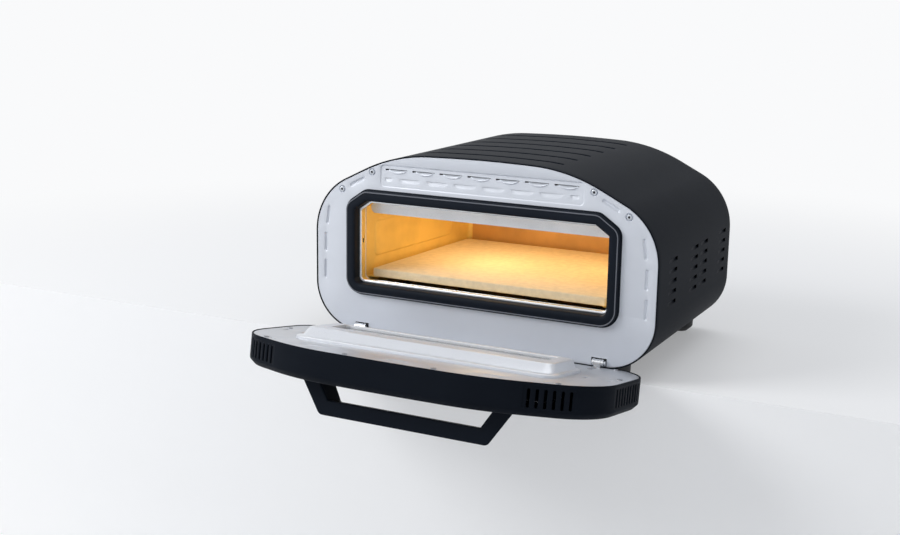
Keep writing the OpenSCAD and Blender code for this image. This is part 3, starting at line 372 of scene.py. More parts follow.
def material(
    name, color, rough, metal=0.0, grain=1800, bump=0.05, height=0.0001, shade=0.04, cloud=22, **more
):
    """A surface whose colour drifts slightly, with a fine grain in its gloss and relief.

    grain and cloud are the scales of the fine and the broad noise, bump and height set the relief,
    and shade is how far the colour drifts.
    """
    m = bpy.data.materials.new(name)
    m.use_nodes = True
    tree = m.node_tree
    shader = tree.nodes["Principled BSDF"]
    shader.inputs["Metallic"].default_value = metal
    for key, value in more.items():
        shader.inputs[key.replace("_", " ")].default_value = value
    coords = tree.nodes.new("ShaderNodeTexCoord")

    def noise(scale, detail):
        node = tree.nodes.new("ShaderNodeTexNoise")
        node.inputs["Scale"].default_value = scale
        node.inputs["Detail"].default_value = detail
        tree.links.new(coords.outputs["Object"], node.inputs["Vector"])
        return node.outputs["Fac"]

    fine, broad = noise(grain, 3.0), noise(cloud, 5.0)
    ramp = tree.nodes.new("ShaderNodeValToRGB")
    for stop, place, part in zip(ramp.color_ramp.elements, (0.38, 0.62), (1 - shade, 1 + shade)):
        stop.position = place
        stop.color = (*[min(1.0, c * part) for c in color], 1)
    tree.links.new(broad, ramp.inputs["Fac"])
    tree.links.new(ramp.outputs["Color"], shader.inputs["Base Color"])
    gloss = tree.nodes.new("ShaderNodeMapRange")
    gloss.inputs["From Min"].default_value = 0.3
    gloss.inputs["From Max"].default_value = 0.7
    gloss.inputs["To Min"].default_value = rough * 0.9
    gloss.inputs["To Max"].default_value = rough * 1.1
    tree.links.new(fine, gloss.inputs["Value"])
    tree.links.new(gloss.outputs["Result"], shader.inputs["Roughness"])
    if bump:
        relief = tree.nodes.new("ShaderNodeBump")
        relief.inputs["Strength"].default_value = bump
        relief.inputs["Distance"].default_value = height
        tree.links.new(fine, relief.inputs["Height"])
        tree.links.new(relief.outputs["Normal"], shader.inputs["Normal"])
    return m


enamel = material(
    "shell_enamel", (0.0078, 0.0102, 0.0150), 0.48, grain=2600, bump=0.10, height=0.00012,
    Specular_IOR_Level=0.02,
)
silver = material("satin_silver", (0.70, 0.73, 0.79), 0.42, 0.2, bump=0.04, shade=0.012)
panel_silver = material("panel_silver", (0.49, 0.51, 0.55), 0.36, 0.35, bump=0.03, shade=0.012)
frame_silver = material("frame_silver", (0.70, 0.72, 0.76), 0.30, 0.3, bump=0.03, shade=0.01)
bright = material("bright_steel", (0.72, 0.74, 0.77), 0.26, 0.9, bump=0.03)
lip_steel = material("lip_steel", (0.85, 0.87, 0.90), 0.25, 0.5, bump=0.02)
screw_steel = material("screw_steel", (0.40, 0.41, 0.44), 0.32, 0.9)
head_steel = material("head_steel", (0.62, 0.65, 0.70), 0.35, 0.3, bump=0.03)
rubber = material(
    "seal_rubber", (0.0095, 0.0130, 0.0200), 0.5, grain=1500, bump=0.08, Specular_IOR_Level=0.08,
)
# A lighter grey for the seal's ridge: a painted highlight along its rounded crest, on the same black
# rubber.
ridge_painted_highlight = material(
    "ridge_painted_highlight", (0.15, 0.16, 0.185), 0.45, grain=1500, bump=0.05, Specular_IOR_Level=0.3,
)
foot_rubber = material("foot_rubber", (0.012, 0.013, 0.015), 0.6, grain=1500, bump=0.1)
# Amber for the cavity's steel: painted warm lamp light on pale steel.
liner_painted_warm_light = material(
    "liner_painted_warm_light", (0.90, 0.66, 0.20), 0.36, 0.3, grain=320, bump=0.03, height=0.0002, shade=0.06,
)
# Darker and browner than the side walls: painted shade on the back wall, under the same painted warm
# light.
back_painted_warm_light_and_shade = material(
    "back_painted_warm_light_and_shade", (0.62, 0.36, 0.13), 0.36, 0.3, grain=320, bump=0.03, height=0.0002, shade=0.08,
)
deflector_steel = material("deflector_steel", (0.84, 0.87, 0.92), 0.30, 0.3, bump=0.03)
stone_mat = material(
    "stone_cordierite", (0.86, 0.73, 0.51), 0.85, grain=260, bump=0.22, height=0.0004, shade=0.05,
    cloud=120,
)
element_mat = material("element_steel", (0.10, 0.09, 0.085), 0.5, 0.6, shade=0.2, cloud=90)
glass = material("clear_glass", (1, 1, 1), 0.02, bump=0, shade=0, IOR=1.45, Transmission_Weight=1.0)
tinted = material(
    "tinted_glass", (0.05, 0.05, 0.055), 0.03, bump=0, IOR=1.45, Transmission_Weight=0.9,
)
# Black plastic, also used as painted shade in the sockets of the plate's screws.
black_plastic = material("black_plastic", (0.010, 0.011, 0.014), 0.4, grain=2000, bump=0.08)
handle_plastic = material(
    "handle_plastic", (0.0080, 0.0110, 0.0170), 0.42, grain=2600, bump=0.08, Specular_IOR_Level=0.04,
)
gloss_black = material("gloss_black", (0.006, 0.006, 0.008), 0.12, bump=0.01, Coat_Weight=0.5)
button_metal = material("button_metal", (0.55, 0.56, 0.58), 0.3, 1.0)
blanket = material("blanket", (0.62, 0.58, 0.50), 0.95, grain=400, bump=0.6, height=0.001, shade=0.1)
porcelain = material("porcelain", (0.75, 0.73, 0.68), 0.3)
board_green = material("board_green", (0.02, 0.12, 0.05), 0.45, grain=700, shade=0.15)
lamp_glow = material(
    "lamp_glow", (1.0, 0.86, 0.6), 0.3, bump=0, Emission_Strength=4.0,
    Emission_Color=(1.0, 0.66, 0.34, 1),
)
lamp_lens = material(
    "lamp_lens", (1.0, 0.93, 0.8), 0.1, bump=0.02, IOR=1.45, Transmission_Weight=1.0,
)

NODE_MATERIALS = {
    enamel: ["outer_shell", "base_plate", "back_panel", "door_housing"],
    silver: ["front_plate"],
    panel_silver: ["door_inner_panel"],
    frame_silver: ["window_frame"],
    bright: [
        "inlet_pins", "hinge_bracket_left", "hinge_bracket_right", "hinge_pins", "hinge_arm_left",
        "hinge_arm_right", "handle_screws", "temperature_probe", "element_clips",
    ],
    lip_steel: ["throat_collar"],
    screw_steel: ["back_panel_screws", "foot_screws", "door_panel_screws"],
    rubber: ["door_seal", "window_seal"],
    liner_painted_warm_light: ["cavity_liner", "stone_rail_left", "stone_rail_right"],
    back_painted_warm_light_and_shade: ["cavity_back"],
    deflector_steel: ["heat_deflector"],
    stone_mat: ["pizza_stone"],
    element_mat: ["upper_element", "lower_element"],
    glass: ["inner_glass"],
    tinted: ["outer_glass"],
    black_plastic: ["power_inlet", "button_switches"],
    handle_plastic: ["door_handle"],
    gloss_black: ["control_panel", "display_window"],
    button_metal: [
        "power_button", "cooler_button", "hotter_button", "shorter_button", "longer_button",
        "light_button",
    ],
    blanket: ["insulation"],
    porcelain: ["lamp_holder"],
    board_green: ["control_board"],
    lamp_glow: ["lamp_bulb"],
    lamp_lens: ["lamp_glass"],
    foot_rubber: ["foot_front_left", "foot_front_right", "foot_back_left", "foot_back_right"],
}
for m, names in NODE_MATERIALS.items():
    for n in names:
        data = nodes[n].data
        data.materials.clear()
        data.materials.append(m)
        data.shade_smooth()
        data.set_sharp_from_angle(angle=math.radians(SHARP))

# ---- Outer shell ----------------------------------------------------------

shell = Mesh()
skin = Wrap(body_ring(), lambda x, z, y: body_at(x, y, z))
top_u = skin.u_of(0, BODY_TOP)
GROOVE = [(0, 0), (0.45, 0.06), (0.9, 0.28), (1.5, 0.85), (2.1, 1.3), (2.7, 1.5), (3.4, 1.55)]
GROOVE_LENGTH, GROOVE_WIDTH = 206, 9.6
inner = GROOVE_LENGTH / 2 - 5
holes = []
for y in np.arange(6) * 48 + 43:
    loop = slot(top_u, y, GROOVE_LENGTH, GROOVE_WIDTH, along=24)
    floor = grid_of(np.arange(top_u - inner, top_u + inner, 8), [y])
    holes.append(shell.sink(loop, GROOVE, skin, grid=floor))

LOUVRE_HALF, LOUVRE_LENGTH, LOUVRE_DEPTH = 2.7, 33, 3.0
LOUVRE_YS = (58.3, 150.0, 194.4, 283.8)
LOUVRE_ZS = np.arange(5) * 14 + 83


def side_louvre(u, y):
    """A dent that deepens towards the back and is open there; returns its outline on the shell."""
    across = np.linspace(-1, 1, 9)
    front, rear = y - LOUVRE_LENGTH / 2, y + LOUVRE_LENGTH / 2
    low, high = u - LOUVRE_HALF, u + LOUVRE_HALF
    rings = []
    for k in np.linspace(0, 1, 10):
        depth = LOUVRE_DEPTH * k * (1 - np.abs(across) ** 3)
        place = np.full(len(across), front + LOUVRE_LENGTH * k)
        rings.append(skin(u + LOUVRE_HALF * across, place, depth))
    shell.strips(rings, closed=False)
    return np.array([(low, front), (high, front), (high, rear), (low, rear)])


for side in (-1, 1):
    for y in LOUVRE_YS:
        for z in LOUVRE_ZS:
            holes.append(side_louvre(skin.u_of(side * BODY_X, z), y))
# The opening in the underside, which the base plate closes.
UNDER_X, UNDER_MARGIN = 168, 6.5
a, b = skin.u_of(-UNDER_X, 0), skin.u_of(UNDER_X, 0)
near, far = UNDER_MARGIN, BODY_D - UNDER_MARGIN
under = np.array([(a, near), (b, near), (b, far), (a, far)])
holes.append(under)
shell.strips([skin(under[:, 0], under[:, 1], d) for d in (0, SHELL_T)])
ROLL = 1.0  # where the rolled edges at the front and back start
band, columns = skin.band(7, ROLL, BODY_D - ROLL)
shell.fill([band, *holes], skin, 0, grid_of(columns[1:-1], np.arange(10, BODY_D - 4, 8)))
# The rolled edge and the flange behind the plates, as (depth inward, distance from the end).
EDGE = [
    (0, ROLL), (0.1, 0.5), (0.35, 0.15), (0.8, 0.0), (1.2, 0.12), (1.5, 0.5), (1.6, 1.0), (1.6, 3.0),
    (9, 3.3),
]
skin.rims(shell, columns, EDGE)
skin.rims(shell, columns, [(d, BODY_D - y) for d, y in EDGE])
shell_obj = shell.object("shell_skin", [enamel], "oven")
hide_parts("outer_shell")

# ---- Front plate ----------------------------------------------------------

plate = Mesh()


def on_plate(x, z, depth):
    return body_at(x, PLATE_RECESS + depth, z)


FIELD_X, FIELD_LOW, FIELD_HIGH = 148, 206.5, 237.5
PITCH = 41.1  # between louvres, in both rows
HOOD_TOP, HOOD_BELLY, HOOD_OUT = 231.2, 5.8, 1.7
SCOOP_TOP, SCOOP_DEPTH = 219.6, 1.1


def field_depth(z):
    """How deep the sunken vent field lies at a height; it slopes in towards its top."""
    return 0.5 + 1.35 * (np.asarray(z) - FIELD_LOW) / (FIELD_HIGH - FIELD_LOW)


def on_field(x, z, depth):
    return on_plate(x, z, field_depth(z) + depth)


def scoop(cx, length, height):
    """A louvre of the lower row, pressed inward under a straight slit; returns its loop."""
    w = np.linspace(-1, 1, 31)
    reach = height * (1 - np.abs(w) ** 5) ** 0.7
    rings = []
    for k in np.linspace(0, 1, 8):
        shape = (1 - np.abs(w) ** 6) * (1 - 0.4 * w)  # deeper at its left end
        deep = SCOOP_DEPTH * math.sin(k * math.pi / 2) ** 1.3 * shape
        rings.append(on_field(cx + w * length / 2, SCOOP_TOP - reach * (1 - k), deep))
    plate.strips(rings, closed=False)
    return np.stack([cx + w * length / 2, SCOOP_TOP - reach], 1)


# How far a hood stands out, from its lower edge (0) to under its slit (1).
HOOD = [(0, 0), (0.08, 0.45), (0.18, 0.85), (0.28, 1.0), (0.42, 0.85), (0.65, 0.2), (1, -1.3)]


def hood(cx):
    """A louvre of the upper row, pressed outward below a slit that runs past its ends.

    Returns the loop round the louvre and its slit.
    """
    w = np.linspace(-1, 1, 27)
    x = cx + 1.8 + 13.4 * w
    end = 0.9  # the lens's height where the slit's round ends begin
    lens = end + (HOOD_BELLY - end) * (1 - w**2) ** 0.8
    proud = HOOD_OUT * (1 - w**6)
    rings = [on_field(x, HOOD_TOP - lens * (1 - k), -part * proud) for k, part in HOOD]
    plate.strips(rings, closed=False)
    a = np.radians(np.linspace(-90, 90, 7))
    right = np.stack([cx + 15.8 + 0.6 * np.cos(a), HOOD_TOP - 0.2 + 0.6 * np.sin(a)], 1)
    left = np.stack([cx - 16.1 - 1.1 * np.cos(a), HOOD_TOP - 0.5 - 1.1 * np.sin(a)], 1)
    return np.vstack([np.stack([x, HOOD_TOP - lens], 1), right, left])


louvres = [hood((i - 3) * PITCH) for i in range(7)]
louvres += [scoop((i - 2.5) * PITCH, 34, 6.8) for i in range(6)]
louvres += [scoop(side * 135, 13, 6.0) for side in (-1, 1)]
field = dense(rect(-FIELD_X, FIELD_LOW, FIELD_X, FIELD_HIGH, 6), 12)
FIELD = [(0, 0), (0.3, 0.1), (0.7, 0.45), (1.2, 0.85), (1.6, 0.97), (2.2, 1.0)]
plate.strips([on_plate(*field(d).T, part * field_depth(field(d)[:, 1])) for d, part in FIELD])
plate.fill([field(FIELD[-1][0]), *louvres], on_field)
holes = [field()]
# The walls of pressed slots, as (distance in, depth): the plate's, and the fainter ones of the door.
DENT = [(0, 0), (0.4, 0.12), (0.9, 0.6), (1.7, 1.6), (2.3, 2.1), (2.9, 2.25)]
FAINT = [(0, 0), (0.3, 0.1), (0.6, 0.5), (1.0, 1.2), (1.5, 1.5), (2.2, 1.6)]
WELL = [(0, 0), (0.3, 0.2), (0.8, 1.2), (1.2, 2.0), (2.0, 2.1)]
# A plate screw's head and its socket, as (radius, depth); the socket is drawn black, as painted shade in
# its recess.
HEAD = [(3.6, 2.1), (3.5, 0.0), (3.4, -0.3), (3.0, -0.55), (1.75, -0.6), (1.6, -0.4)]
SOCKET = [(1.6, -0.4), (1.4, 0.8), (0.1, 0.9)]
PLATE_SLOTS = ((230.5, 160.3, 8), (234.5, 121.9, 0), (235, 83.5, 0), (183.5, 210.8, 62))
PLATE_SCREWS = ((208, 198.6), (160.6, 225.7))
heads = Mesh()
for side in (-1, 1):
    for x, z, tilt in PLATE_SLOTS:
        holes.append(plate.sink(slot(side * x, z, 28, 6.2, 90 + side * tilt), DENT, on_plate))
    for x, z in PLATE_SCREWS:
        holes.append(plate.sink(disc(side * x, z, 5.4), WELL, on_plate, cap=False))
        # The socket takes the second material, black, as painted shade.
        for mark, stations in ((0, HEAD), (1, SOCKET)):
            rings = [on_plate(*disc(side * x, z, r)().T, depth) for r, depth in stations]
            heads.strips(rings, mark=mark)


def hinge_notch(side, half, low, high):
    """The loop of the hole that a hinge's bracket or arm passes through."""
    x = side * HINGE_X
    return np.array([(x - half, low), (x + half, low), (x + half, high), (x - half, high)])


for side in (-1, 1):
    holes.append(hinge_notch(side, 10.5, 2.8, 13))
PLATE_RIM = [(1.9, 1.1), (1.9, 0.45), (2.05, 0.15), (2.3, 0.03), (2.6, 0)]
plate.fill([body_ring(PLATE_RIM[-1][0]), throat_ring(1.2), *holes], on_plate)
plate.strips([on_plate(*body_ring(d).T, y) for d, y in PLATE_RIM])
plate_obj = plate.object("front_plate_skin", [silver], "oven")
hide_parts("front_plate")
heads_obj = heads.object("plate_screw_heads", [head_steel, black_plastic], "oven")
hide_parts("front_plate_screws")

# ---- Door seal ------------------------------------------------------------

seal = Mesh()
# From the throat outward, as (distance outside the throat, y).
SEAL = [
    (0.0, 6.8), (0.2, 5.0), (0.7, -1.0), (1.0, -3.6), (1.5, -4.8), (2.6, -5.7), (4.2, -6.2), (6.0, -6.35),
    (7.8, -6.3), (11.2, -5.7), (11.9, -5.6), (12.3, -5.8),
]
# The ridge's crest, drawn in the lighter grey of the painted highlight.
RIDGE = [(12.3, -5.8), (12.7, -6.15), (13.4, -6.2), (13.9, -5.9)]
SEAL_FOOT = [
    (13.9, -5.9), (14.4, -5.2), (14.8, -4.0), (14.9, -1.2), (15.0, -0.6), (15.4, -0.45), (16.2, -0.4),
    (16.7, -0.1), (16.9, 0.5), (16.9, 1.1),
]
for mark, stations in ((0, SEAL), (1, RIDGE), (0, SEAL_FOOT)):
    rings = [(throat_ring(d), y) for d, y in stations]
    seal.strips([body_at(ring[:, 0], y, ring[:, 1]) for ring, y in rings], mark=mark)
seal_obj = seal.object("door_seal_ring", [rubber, ridge_painted_highlight], "oven")
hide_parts("door_seal")

# ---- Throat collar --------------------------------------------------------

collar = Mesh()
throat = Wrap(throat_ring(), lambda x, z, y: body_at(x, y, z))
holes = []
for side in (-1, 1):
    u = throat.u_of(side * THROAT_X, 126)
    hole = rect(u - 3, 15.5, u + 3, 19.5, 0.6)
    holes.append(collar.sink(hole, [(0, 0), (0.02, -1)], throat, cap=False, mark=1))
LIP_BACK, BEAD_FRONT = 9.0, 22.8
band, columns = throat.band(12, LIP_BACK, BEAD_FRONT)
collar.fill([band, *holes], throat, 0, grid_of(columns[1:-1], [12, 15]), mark=1)
throat.rims(collar, columns, [(0, BEAD_FRONT), (0.35, 23.0), (0.5, 23.5), (0.35, 24.0), (0, 24.2)])
LIP = [
    (0, LIP_BACK), (2.0, 8.9), (2.8, 8.4), (3.0, 7.7), (2.8, 7.0), (2.2, 6.6), (1.0, 6.4), (0.1, 6.5),
    (0, 6.9),
]
throat.rims(collar, columns, LIP)
collar_obj = collar.object("collar_lip", [lip_steel, liner_painted_warm_light], "oven")
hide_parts("throat_collar")

# ---- Raised panels of the cavity's sides ----------------------------------


LINER_FRONT = 24
TAPER = 23.5 / 278  # how much each side wall closes in towards the back


def on_wall(side):
    """Depth and height on a side wall of the cavity, and how far inside it."""
    return lambda y, z, d: body_at(side * (THROAT_X - TAPER * (y - LINER_FRONT) - d), y, z)


RAISED = [(0, 0.02), (0.7, 0.15), (1.6, 0.7), (2.6, 1.15), (3.4, 1.25)]
for name, side, back in (("liner_emboss_left", -1, 250), ("liner_emboss_right", 1, 164)):
    emboss = Mesh()
    emboss.sink(rect(44, 98, back, 150, 8), RAISED, on_wall(side))
    emboss_obj = emboss.object(name, [liner_painted_warm_light], "oven")

# ---- Stone ----------------------------------------------------------------

stone = Mesh()
STONE_CORNERS = [(-174.4, 26), (174.4, 26), (156.9, 291), (-156.9, 291)]
STONE_RADII = [4, 4, 7, 7]


def stone_ring(d):
    return outline(STONE_CORNERS, STONE_RADII, d, 6).T


# As (distance inside the slab's outline, height).
SLAB = [
    (1.6, 74.5), (0.8, 74.7), (0.2, 75.3), (0, 76.2), (0, 84.3), (0.2, 85.2), (0.8, 85.8), (1.8, 86.0),
]
stone.strips([body_at(*stone_ring(d), z) for d, z in SLAB])
for d, z in (SLAB[0], SLAB[-1]):
    stone.fill([stone_ring(d).T], body_at, z)
stone_obj = stone.object("stone_slab", [stone_mat], "stone")
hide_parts("pizza_stone")

# ---- Door housing ---------------------------------------------------------

housing = Mesh()
wall = Wrap(door_ring(), door_at)
holes = []
# The edge of a vent's recess and the walls of its slots, as (distance in, depth).
RECESS = [(0, 0), (0.25, 0.08), (0.5, 0.35), (0.8, 0.6), (1.1, 0.7)]
THROUGH = [(0, 0.7), (0.15, 0.78), (0.3, 1.0), (0.35, 3.0)]
VENT_LENGTH, VENT_WIDTH = 23, 4.4


def vent(ends, count, middle, low, high):
    """A row of slots between two places on the door's wall, in a shallow recess; returns its loop."""
    first, last = sorted(wall.u_of(*p) for p in ends)
    slots = []
    for u in np.linspace(first, last, count):
        loop = dense(slot(u, middle, VENT_LENGTH, VENT_WIDTH, 90), 3)
        slots.append(housing.sink(loop, THROUGH, wall, cap=False))
    frame_loop = dense(rect(first - 7, low, last + 7, high, 3), 3)
    inside = grid_of(wall.columns(4), np.arange(low + 3, high - 1, 3))
    return housing.sink(frame_loop, RECESS, wall, holes=slots, grid=inside)


for side in (-1, 1):
    holes.append(vent([(side * 175, 227.5), (side * 219, 204.5)], 6, 18.5, 4.5, 30.4))
    holes.append(vent([(side * BODY_X, 52), (side * BODY_X, 138)], 10, 17.0, 3.5, 29.5))
# The flat part of the door's wall lies between two rounded ones, and its face inside FACE_INSET.
WALL_LOW, WALL_HIGH, FACE_INSET = 1.2, 31.0, 9.2
band, columns = wall.band(6, WALL_LOW, WALL_HIGH)
housing.fill([band, *holes], wall, 0, grid_of(columns[1:-1], [5, 9, 13, 17, 21, 25, 28.5]))
wall.rims(housing, columns, [
    (2.2, 3.5), (2.2, 1.0), (2.1, 0.5), (1.8, 0.15), (1.3, 0.0), (0.7, 0.06), (0.25, 0.35),
    (0.0, WALL_LOW),
])
wall.rims(housing, columns, [
    (0, WALL_HIGH), (0.1, 32.2), (0.5, 33.3), (5.6, 38.6), (6.6, 39.4), (7.8, 39.85),
    (FACE_INSET, DOOR_T),
])


def on_face(x, s, depth):
    return door_at(x, s, DOOR_T - depth)


# The face has two openings, for the outer glass and for the control panel.
face = [np.stack(wall.flat(columns[:-1], FACE_INSET), 1)]
for loop in (rect(-160, 70, 160, 146, 10), rect(-112, 206, 112, 237, 8)):
    face.append(housing.sink(loop, [(0, 0), (0, 0.4), (0.02, 2.2)], on_face, cap=False))
housing.fill(face, on_face)
housing_obj = housing.object("door_housing_skin", [enamel], "door")
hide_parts("door_housing")

# ---- Door inner panel -----------------------------------------------------

panel = Mesh()


PANEL_OUT = 0.8  # how far outward of the door's inner edge its panel lies


def on_panel(x, s, depth):
    return door_at(x, s, PANEL_OUT + depth)


PANEL_SLOTS = ((200, 115, 16, 90), (230, 113, 16, 90), (189, 204, 14, -30), (124, 213, 24, 0))
holes = [rect(-178, 75, 178, 171, 14)()]
for side in (-1, 1):
    for x, s, length, turn in PANEL_SLOTS:
        holes.append(panel.sink(slot(side * x, s, length, 5, side * turn), FAINT, on_panel))
    holes.append(hinge_notch(side, 5.5, 9.0, 12.9))
holes.append(panel.sink(slot(0, 221, 24, 5), FAINT, on_panel))
PANEL_RIM = [(2.4, 1.2), (2.4, 0.5), (2.6, 0.15), (2.9, 0.03), (3.4, 0)]
panel.fill([door_ring(PANEL_RIM[-1][0]), *holes], on_panel)
panel.strips([on_panel(*door_ring(d).T, y) for d, y in PANEL_RIM])
panel_obj = panel.object("door_panel_skin", [panel_silver], "door")
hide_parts("door_inner_panel")

# ---- Window frame on the door ---------------------------------------------

plug = Mesh()
# From the flange to the glass, as (half width, low, high, corner radius, distance outward).
FRAME = [
    (182, 71.5, 175, 18, 0.8), (182, 71.5, 175, 18, -1.6), (181.8, 71.7, 174.8, 17.8, -2.3),
    (181.2, 72.2, 174.2, 17.4, -2.8), (180.2, 73, 173.2, 16.8, -3), (177.4, 74.6, 168.2, 14.8, -3.05),
    (176.6, 75, 166.6, 14.2, -3.3), (175.9, 75.4, 165.4, 13.8, -4), (172.2, 77.6, 157.4, 12.3, -12.4),
    (171.7, 78, 156.4, 12, -13.4), (170.9, 78.6, 155.3, 11.5, -14.1), (169.8, 79.4, 154, 10.8, -14.42),
    (168.6, 80.2, 152.8, 10, -14.5), (154.6, 82.6, 128.6, 7.6, -14.5), (153.8, 83.4, 127.8, 6.8, -14.4),
    (153.2, 83.9, 127.2, 6.2, -14), (153, 84.1, 127, 6, -13.3), (153, 84.1, 127, 6, -10.55),
]
plug.strips([door_at(*rect(-hx, s0, hx, s1, r)().T, t) for hx, s0, s1, r, t in FRAME])
plug_obj = plug.object("window_frame_skin", [frame_silver], "door")
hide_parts("window_frame")

# ---- Handle ---------------------------------------------------------------

handle = Mesh()
GRIP_T = 88


def handle_side(s, root, tip, inner):
    """The handle's side view at s along the door: its outer outline, then its finger opening."""
    corners = [(-root, DOOR_T), (root, DOOR_T), (tip, GRIP_T), (-tip, GRIP_T)]
    outer = outline(corners, [0, 0, 9, 9], 0, 8)
    opening = [(-123, DOOR_T), (-105.3, inner), (105.3, inner), (123, DOOR_T)]
    p = np.vstack([np.roll(outer, -1, 0), opening])
    return door_at(p[:, 0], s, p[:, 1])


upper, lower = handle_side(198.0, 149, 117, 68), handle_side(162.0, 134, 102, 74)
n = len(upper)
handle.strips([upper, lower])
handle.add(upper, [tuple(range(n))])
handle.add(lower, [tuple(range(n))])
handle_obj = handle.object("handle_grip", [handle_plastic], "door", 60)
bevel = handle_obj.modifiers.new("edges", "BEVEL")
bevel.width = 0.0022
bevel.segments = 3
bevel.limit_method = "ANGLE"
bevel.angle_limit = math.radians(25)
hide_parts("door_handle")

# ---- Feet -----------------------------------------------------------------

FOOT_X, FOOT_Y = 190, 136
FEET = {
    "foot_front_left": (-FOOT_X, -FOOT_Y), "foot_front_right": (FOOT_X, -FOOT_Y),
    "foot_back_left": (-FOOT_X, FOOT_Y), "foot_back_right": (FOOT_X, FOOT_Y),
}
# As (radius, height).
FOOT = [
    (0.1, 0), (11.0, 0), (11.8, 0.25), (12.3, 0.7), (18.4, 6.3), (19.0, 7.0), (19.3, 7.9), (19.9, 21.5),
]
for name, (cx, cy) in FEET.items():
    foot = Mesh()
    rings = [(disc(cx, cy, r, 48)(), z) for r, z in FOOT]
    foot.strips([np.column_stack([ring, np.full(len(ring), z)]) for ring, z in rings])
    foot_obj = foot.object(name + "_pad", [foot_rubber], "oven")
    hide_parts(name)

# ---- Stage ----------------------------------------------------------------

BACKDROP = (0.95, 0.955, 0.965, 1)
FADE_START, FADE_END = 0.45, 1.6  # metres from the object's middle
NEAR_MIX = 0.3  # the backdrop's part next to the object
EDGE_Y, DROP = -0.150, 0.45  # the worktop's front edge, and how far below it the floor lies


def seen(tree):
    """1 for what the camera sees straight, in gloss or through glass, and 0 for other light."""
    path = tree.nodes.new("ShaderNodeLightPath")
    value = path.outputs["Is Camera Ray"]
    for other in ("Is Glossy Ray", "Is Transmission Ray"):
        top = tree.nodes.new("ShaderNodeMath")
        top.operation = "MAXIMUM"
        tree.links.new(value, top.inputs[0])
        tree.links.new(path.outputs[other], top.inputs[1])
        value = top.outputs[0]
    return value


def pale_stage():
    """A pale surface that fades into the backdrop's colour away from the object."""
    m = material("stage", (0.90, 0.905, 0.915), 0.6, grain=60, bump=0, shade=0.006, cloud=3)
    tree = m.node_tree
    where = tree.nodes.new("ShaderNodeNewGeometry")
    far = tree.nodes.new("ShaderNodeVectorMath")
    far.operation = "LENGTH"
    fade = tree.nodes.new("ShaderNodeMapRange")
    fade.interpolation_type = "SMOOTHSTEP"
    fade.inputs["From Min"].default_value = FADE_START
    fade.inputs["From Max"].default_value = FADE_END
    fade.inputs["To Min"].default_value = NEAR_MIX
    part = tree.nodes.new("ShaderNodeMath")
    part.operation = "MULTIPLY"
    backdrop = tree.nodes.new("ShaderNodeEmission")
    backdrop.inputs["Color"].default_value = BACKDROP
    mix = tree.nodes.new("ShaderNodeMixShader")
    tree.links.new(where.outputs["Position"], far.inputs[0])
    tree.links.new(far.outputs["Value"], fade.inputs["Value"])
    tree.links.new(fade.outputs["Result"], part.inputs[0])
    tree.links.new(seen(tree), part.inputs[1])
    tree.links.new(part.outputs[0], mix.inputs["Fac"])
    tree.links.new(tree.nodes["Principled BSDF"].outputs[0], mix.inputs[1])
    tree.links.new(backdrop.outputs[0], mix.inputs[2])
    tree.links.new(mix.outputs[0], tree.nodes["Material Output"].inputs["Surface"])
    return m


stage_mat = pale_stage()


def slab_box(name, low, high):
    bpy.ops.mesh.primitive_cube_add(size=1)
    obj = bpy.context.object
    obj.name = name
    obj.scale = [h - l for l, h in zip(low, high)]
    obj.location = [(h + l) / 2 for l, h in zip(low, high)]
    obj.data.materials.append(stage_mat)


slab_box("worktop", (-20.0, EDGE_Y, -DROP), (20.0, 30.0, 0.0))
slab_box("floor", (-20.0, -20.0, -DROP - 0.05), (20.0, 30.0, -DROP))

world = bpy.data.worlds.new("world")
bpy.context.scene.world = world
world.use_nodes = True
tree = world.node_tree
tree.nodes.clear()
out = tree.nodes.new("ShaderNodeOutputWorld")
mix = tree.nodes.new("ShaderNodeMixShader")
light = tree.nodes.new("ShaderNodeBackground")
light.inputs["Color"].default_value = (0.90, 0.94, 1.0, 1)
light.inputs["Strength"].default_value = 0.45
white = tree.nodes.new("ShaderNodeBackground")
white.inputs["Color"].default_value = BACKDROP
tree.links.new(seen(tree), mix.inputs["Fac"])
tree.links.new(light.outputs[0], mix.inputs[1])
tree.links.new(white.outputs[0], mix.inputs[2])
tree.links.new(mix.outputs[0], out.inputs["Surface"])


def lamp(kind, name, place, power, color):
    data = bpy.data.lights.new(name, kind)
    data.energy = power
    data.color = color
    obj = bpy.data.objects.new(name, data)
    bpy.context.scene.collection.objects.link(obj)
    obj.location = place
    return obj


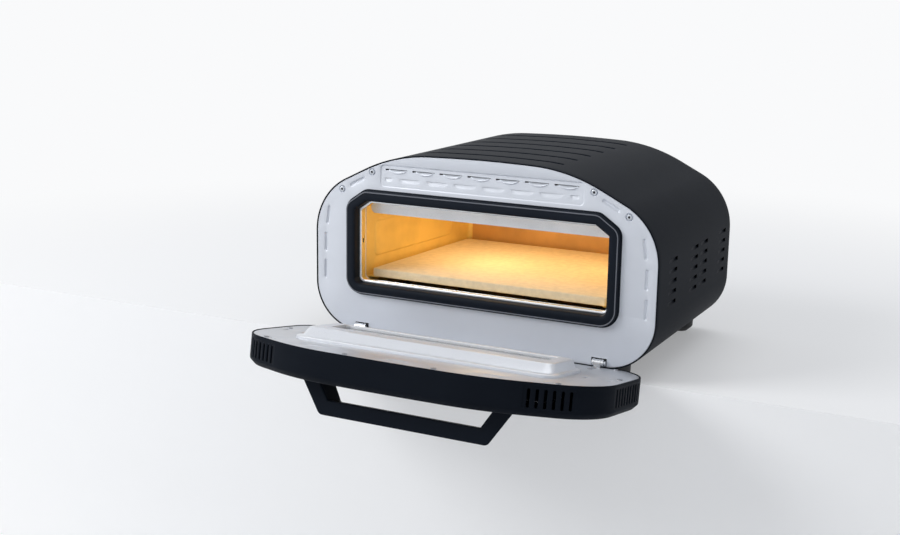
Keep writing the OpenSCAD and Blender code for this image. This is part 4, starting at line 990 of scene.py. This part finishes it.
def area(name, place, target, size, power, color=(1, 1, 1)):
    obj = lamp("AREA", name, place, power, color)
    obj.data.shape = "RECTANGLE"
    obj.data.size, obj.data.size_y = size
    obj.rotation_euler = (Vector(target) - Vector(place)).to_track_quat("-Z", "Y").to_euler()
    obj.visible_camera = False


WARM = (1.0, 0.75, 0.42)  # the light inside the cavity
area("key", (-2.1, -1.75, 1.7), (0, -0.1, 0.12), (1.6, 1.2), 54)
area("top", (0.2, 0.6, 2.0), (0, 0, 0.2), (1.8, 1.4), 10)
area("side", (2.2, -0.5, 1.2), (0, 0, 0.12), (1.2, 1.2), 1)
area("heat_light", (0.0, 0.0, 0.180), (0, 0, 0), (0.28, 0.20), 0.17, WARM)
for name, place, power in (
    ("wall_light", (-0.04, -0.02, 0.172), 0.12), ("lamp_light", (0.160, 0.028, 0.166), 0.13),
):
    lamp("POINT", name, place, power, WARM).data.shadow_soft_size = 0.03

# ---- Camera ---------------------------------------------------------------

cam_data = bpy.data.cameras.new("camera")
cam = bpy.data.objects.new("camera", cam_data)
bpy.context.scene.collection.objects.link(cam)
bpy.context.scene.camera = cam
CAMERA_AT = (0.73648, -1.68973, 0.50004)
FOCAL_PIXELS, IMAGE_WIDTH, SENSOR = 1314.63, 900, 36
az, el, roll = (math.radians(v) for v in (26.766, 12.378, 0.956))
back = Vector((math.sin(az) * math.cos(el), -math.cos(az) * math.cos(el), math.sin(el)))
right = (-back).cross(Vector((0, 0, 1))).normalized()
up = right.cross(-back)
across = right * math.cos(roll) + up * math.sin(roll)
upward = up * math.cos(roll) - right * math.sin(roll)
turn = Matrix((across, upward, back)).transposed()
cam.matrix_world = Matrix.Translation(CAMERA_AT) @ turn.to_4x4()
cam_data.sensor_width = SENSOR
cam_data.lens = FOCAL_PIXELS * SENSOR / IMAGE_WIDTH
cam_data.shift_x = -0.00382
cam_data.shift_y = -0.00071
cam_data.clip_start = 0.05
cam_data.clip_end = 80
bpy.context.scene.view_settings.view_transform = "Standard"
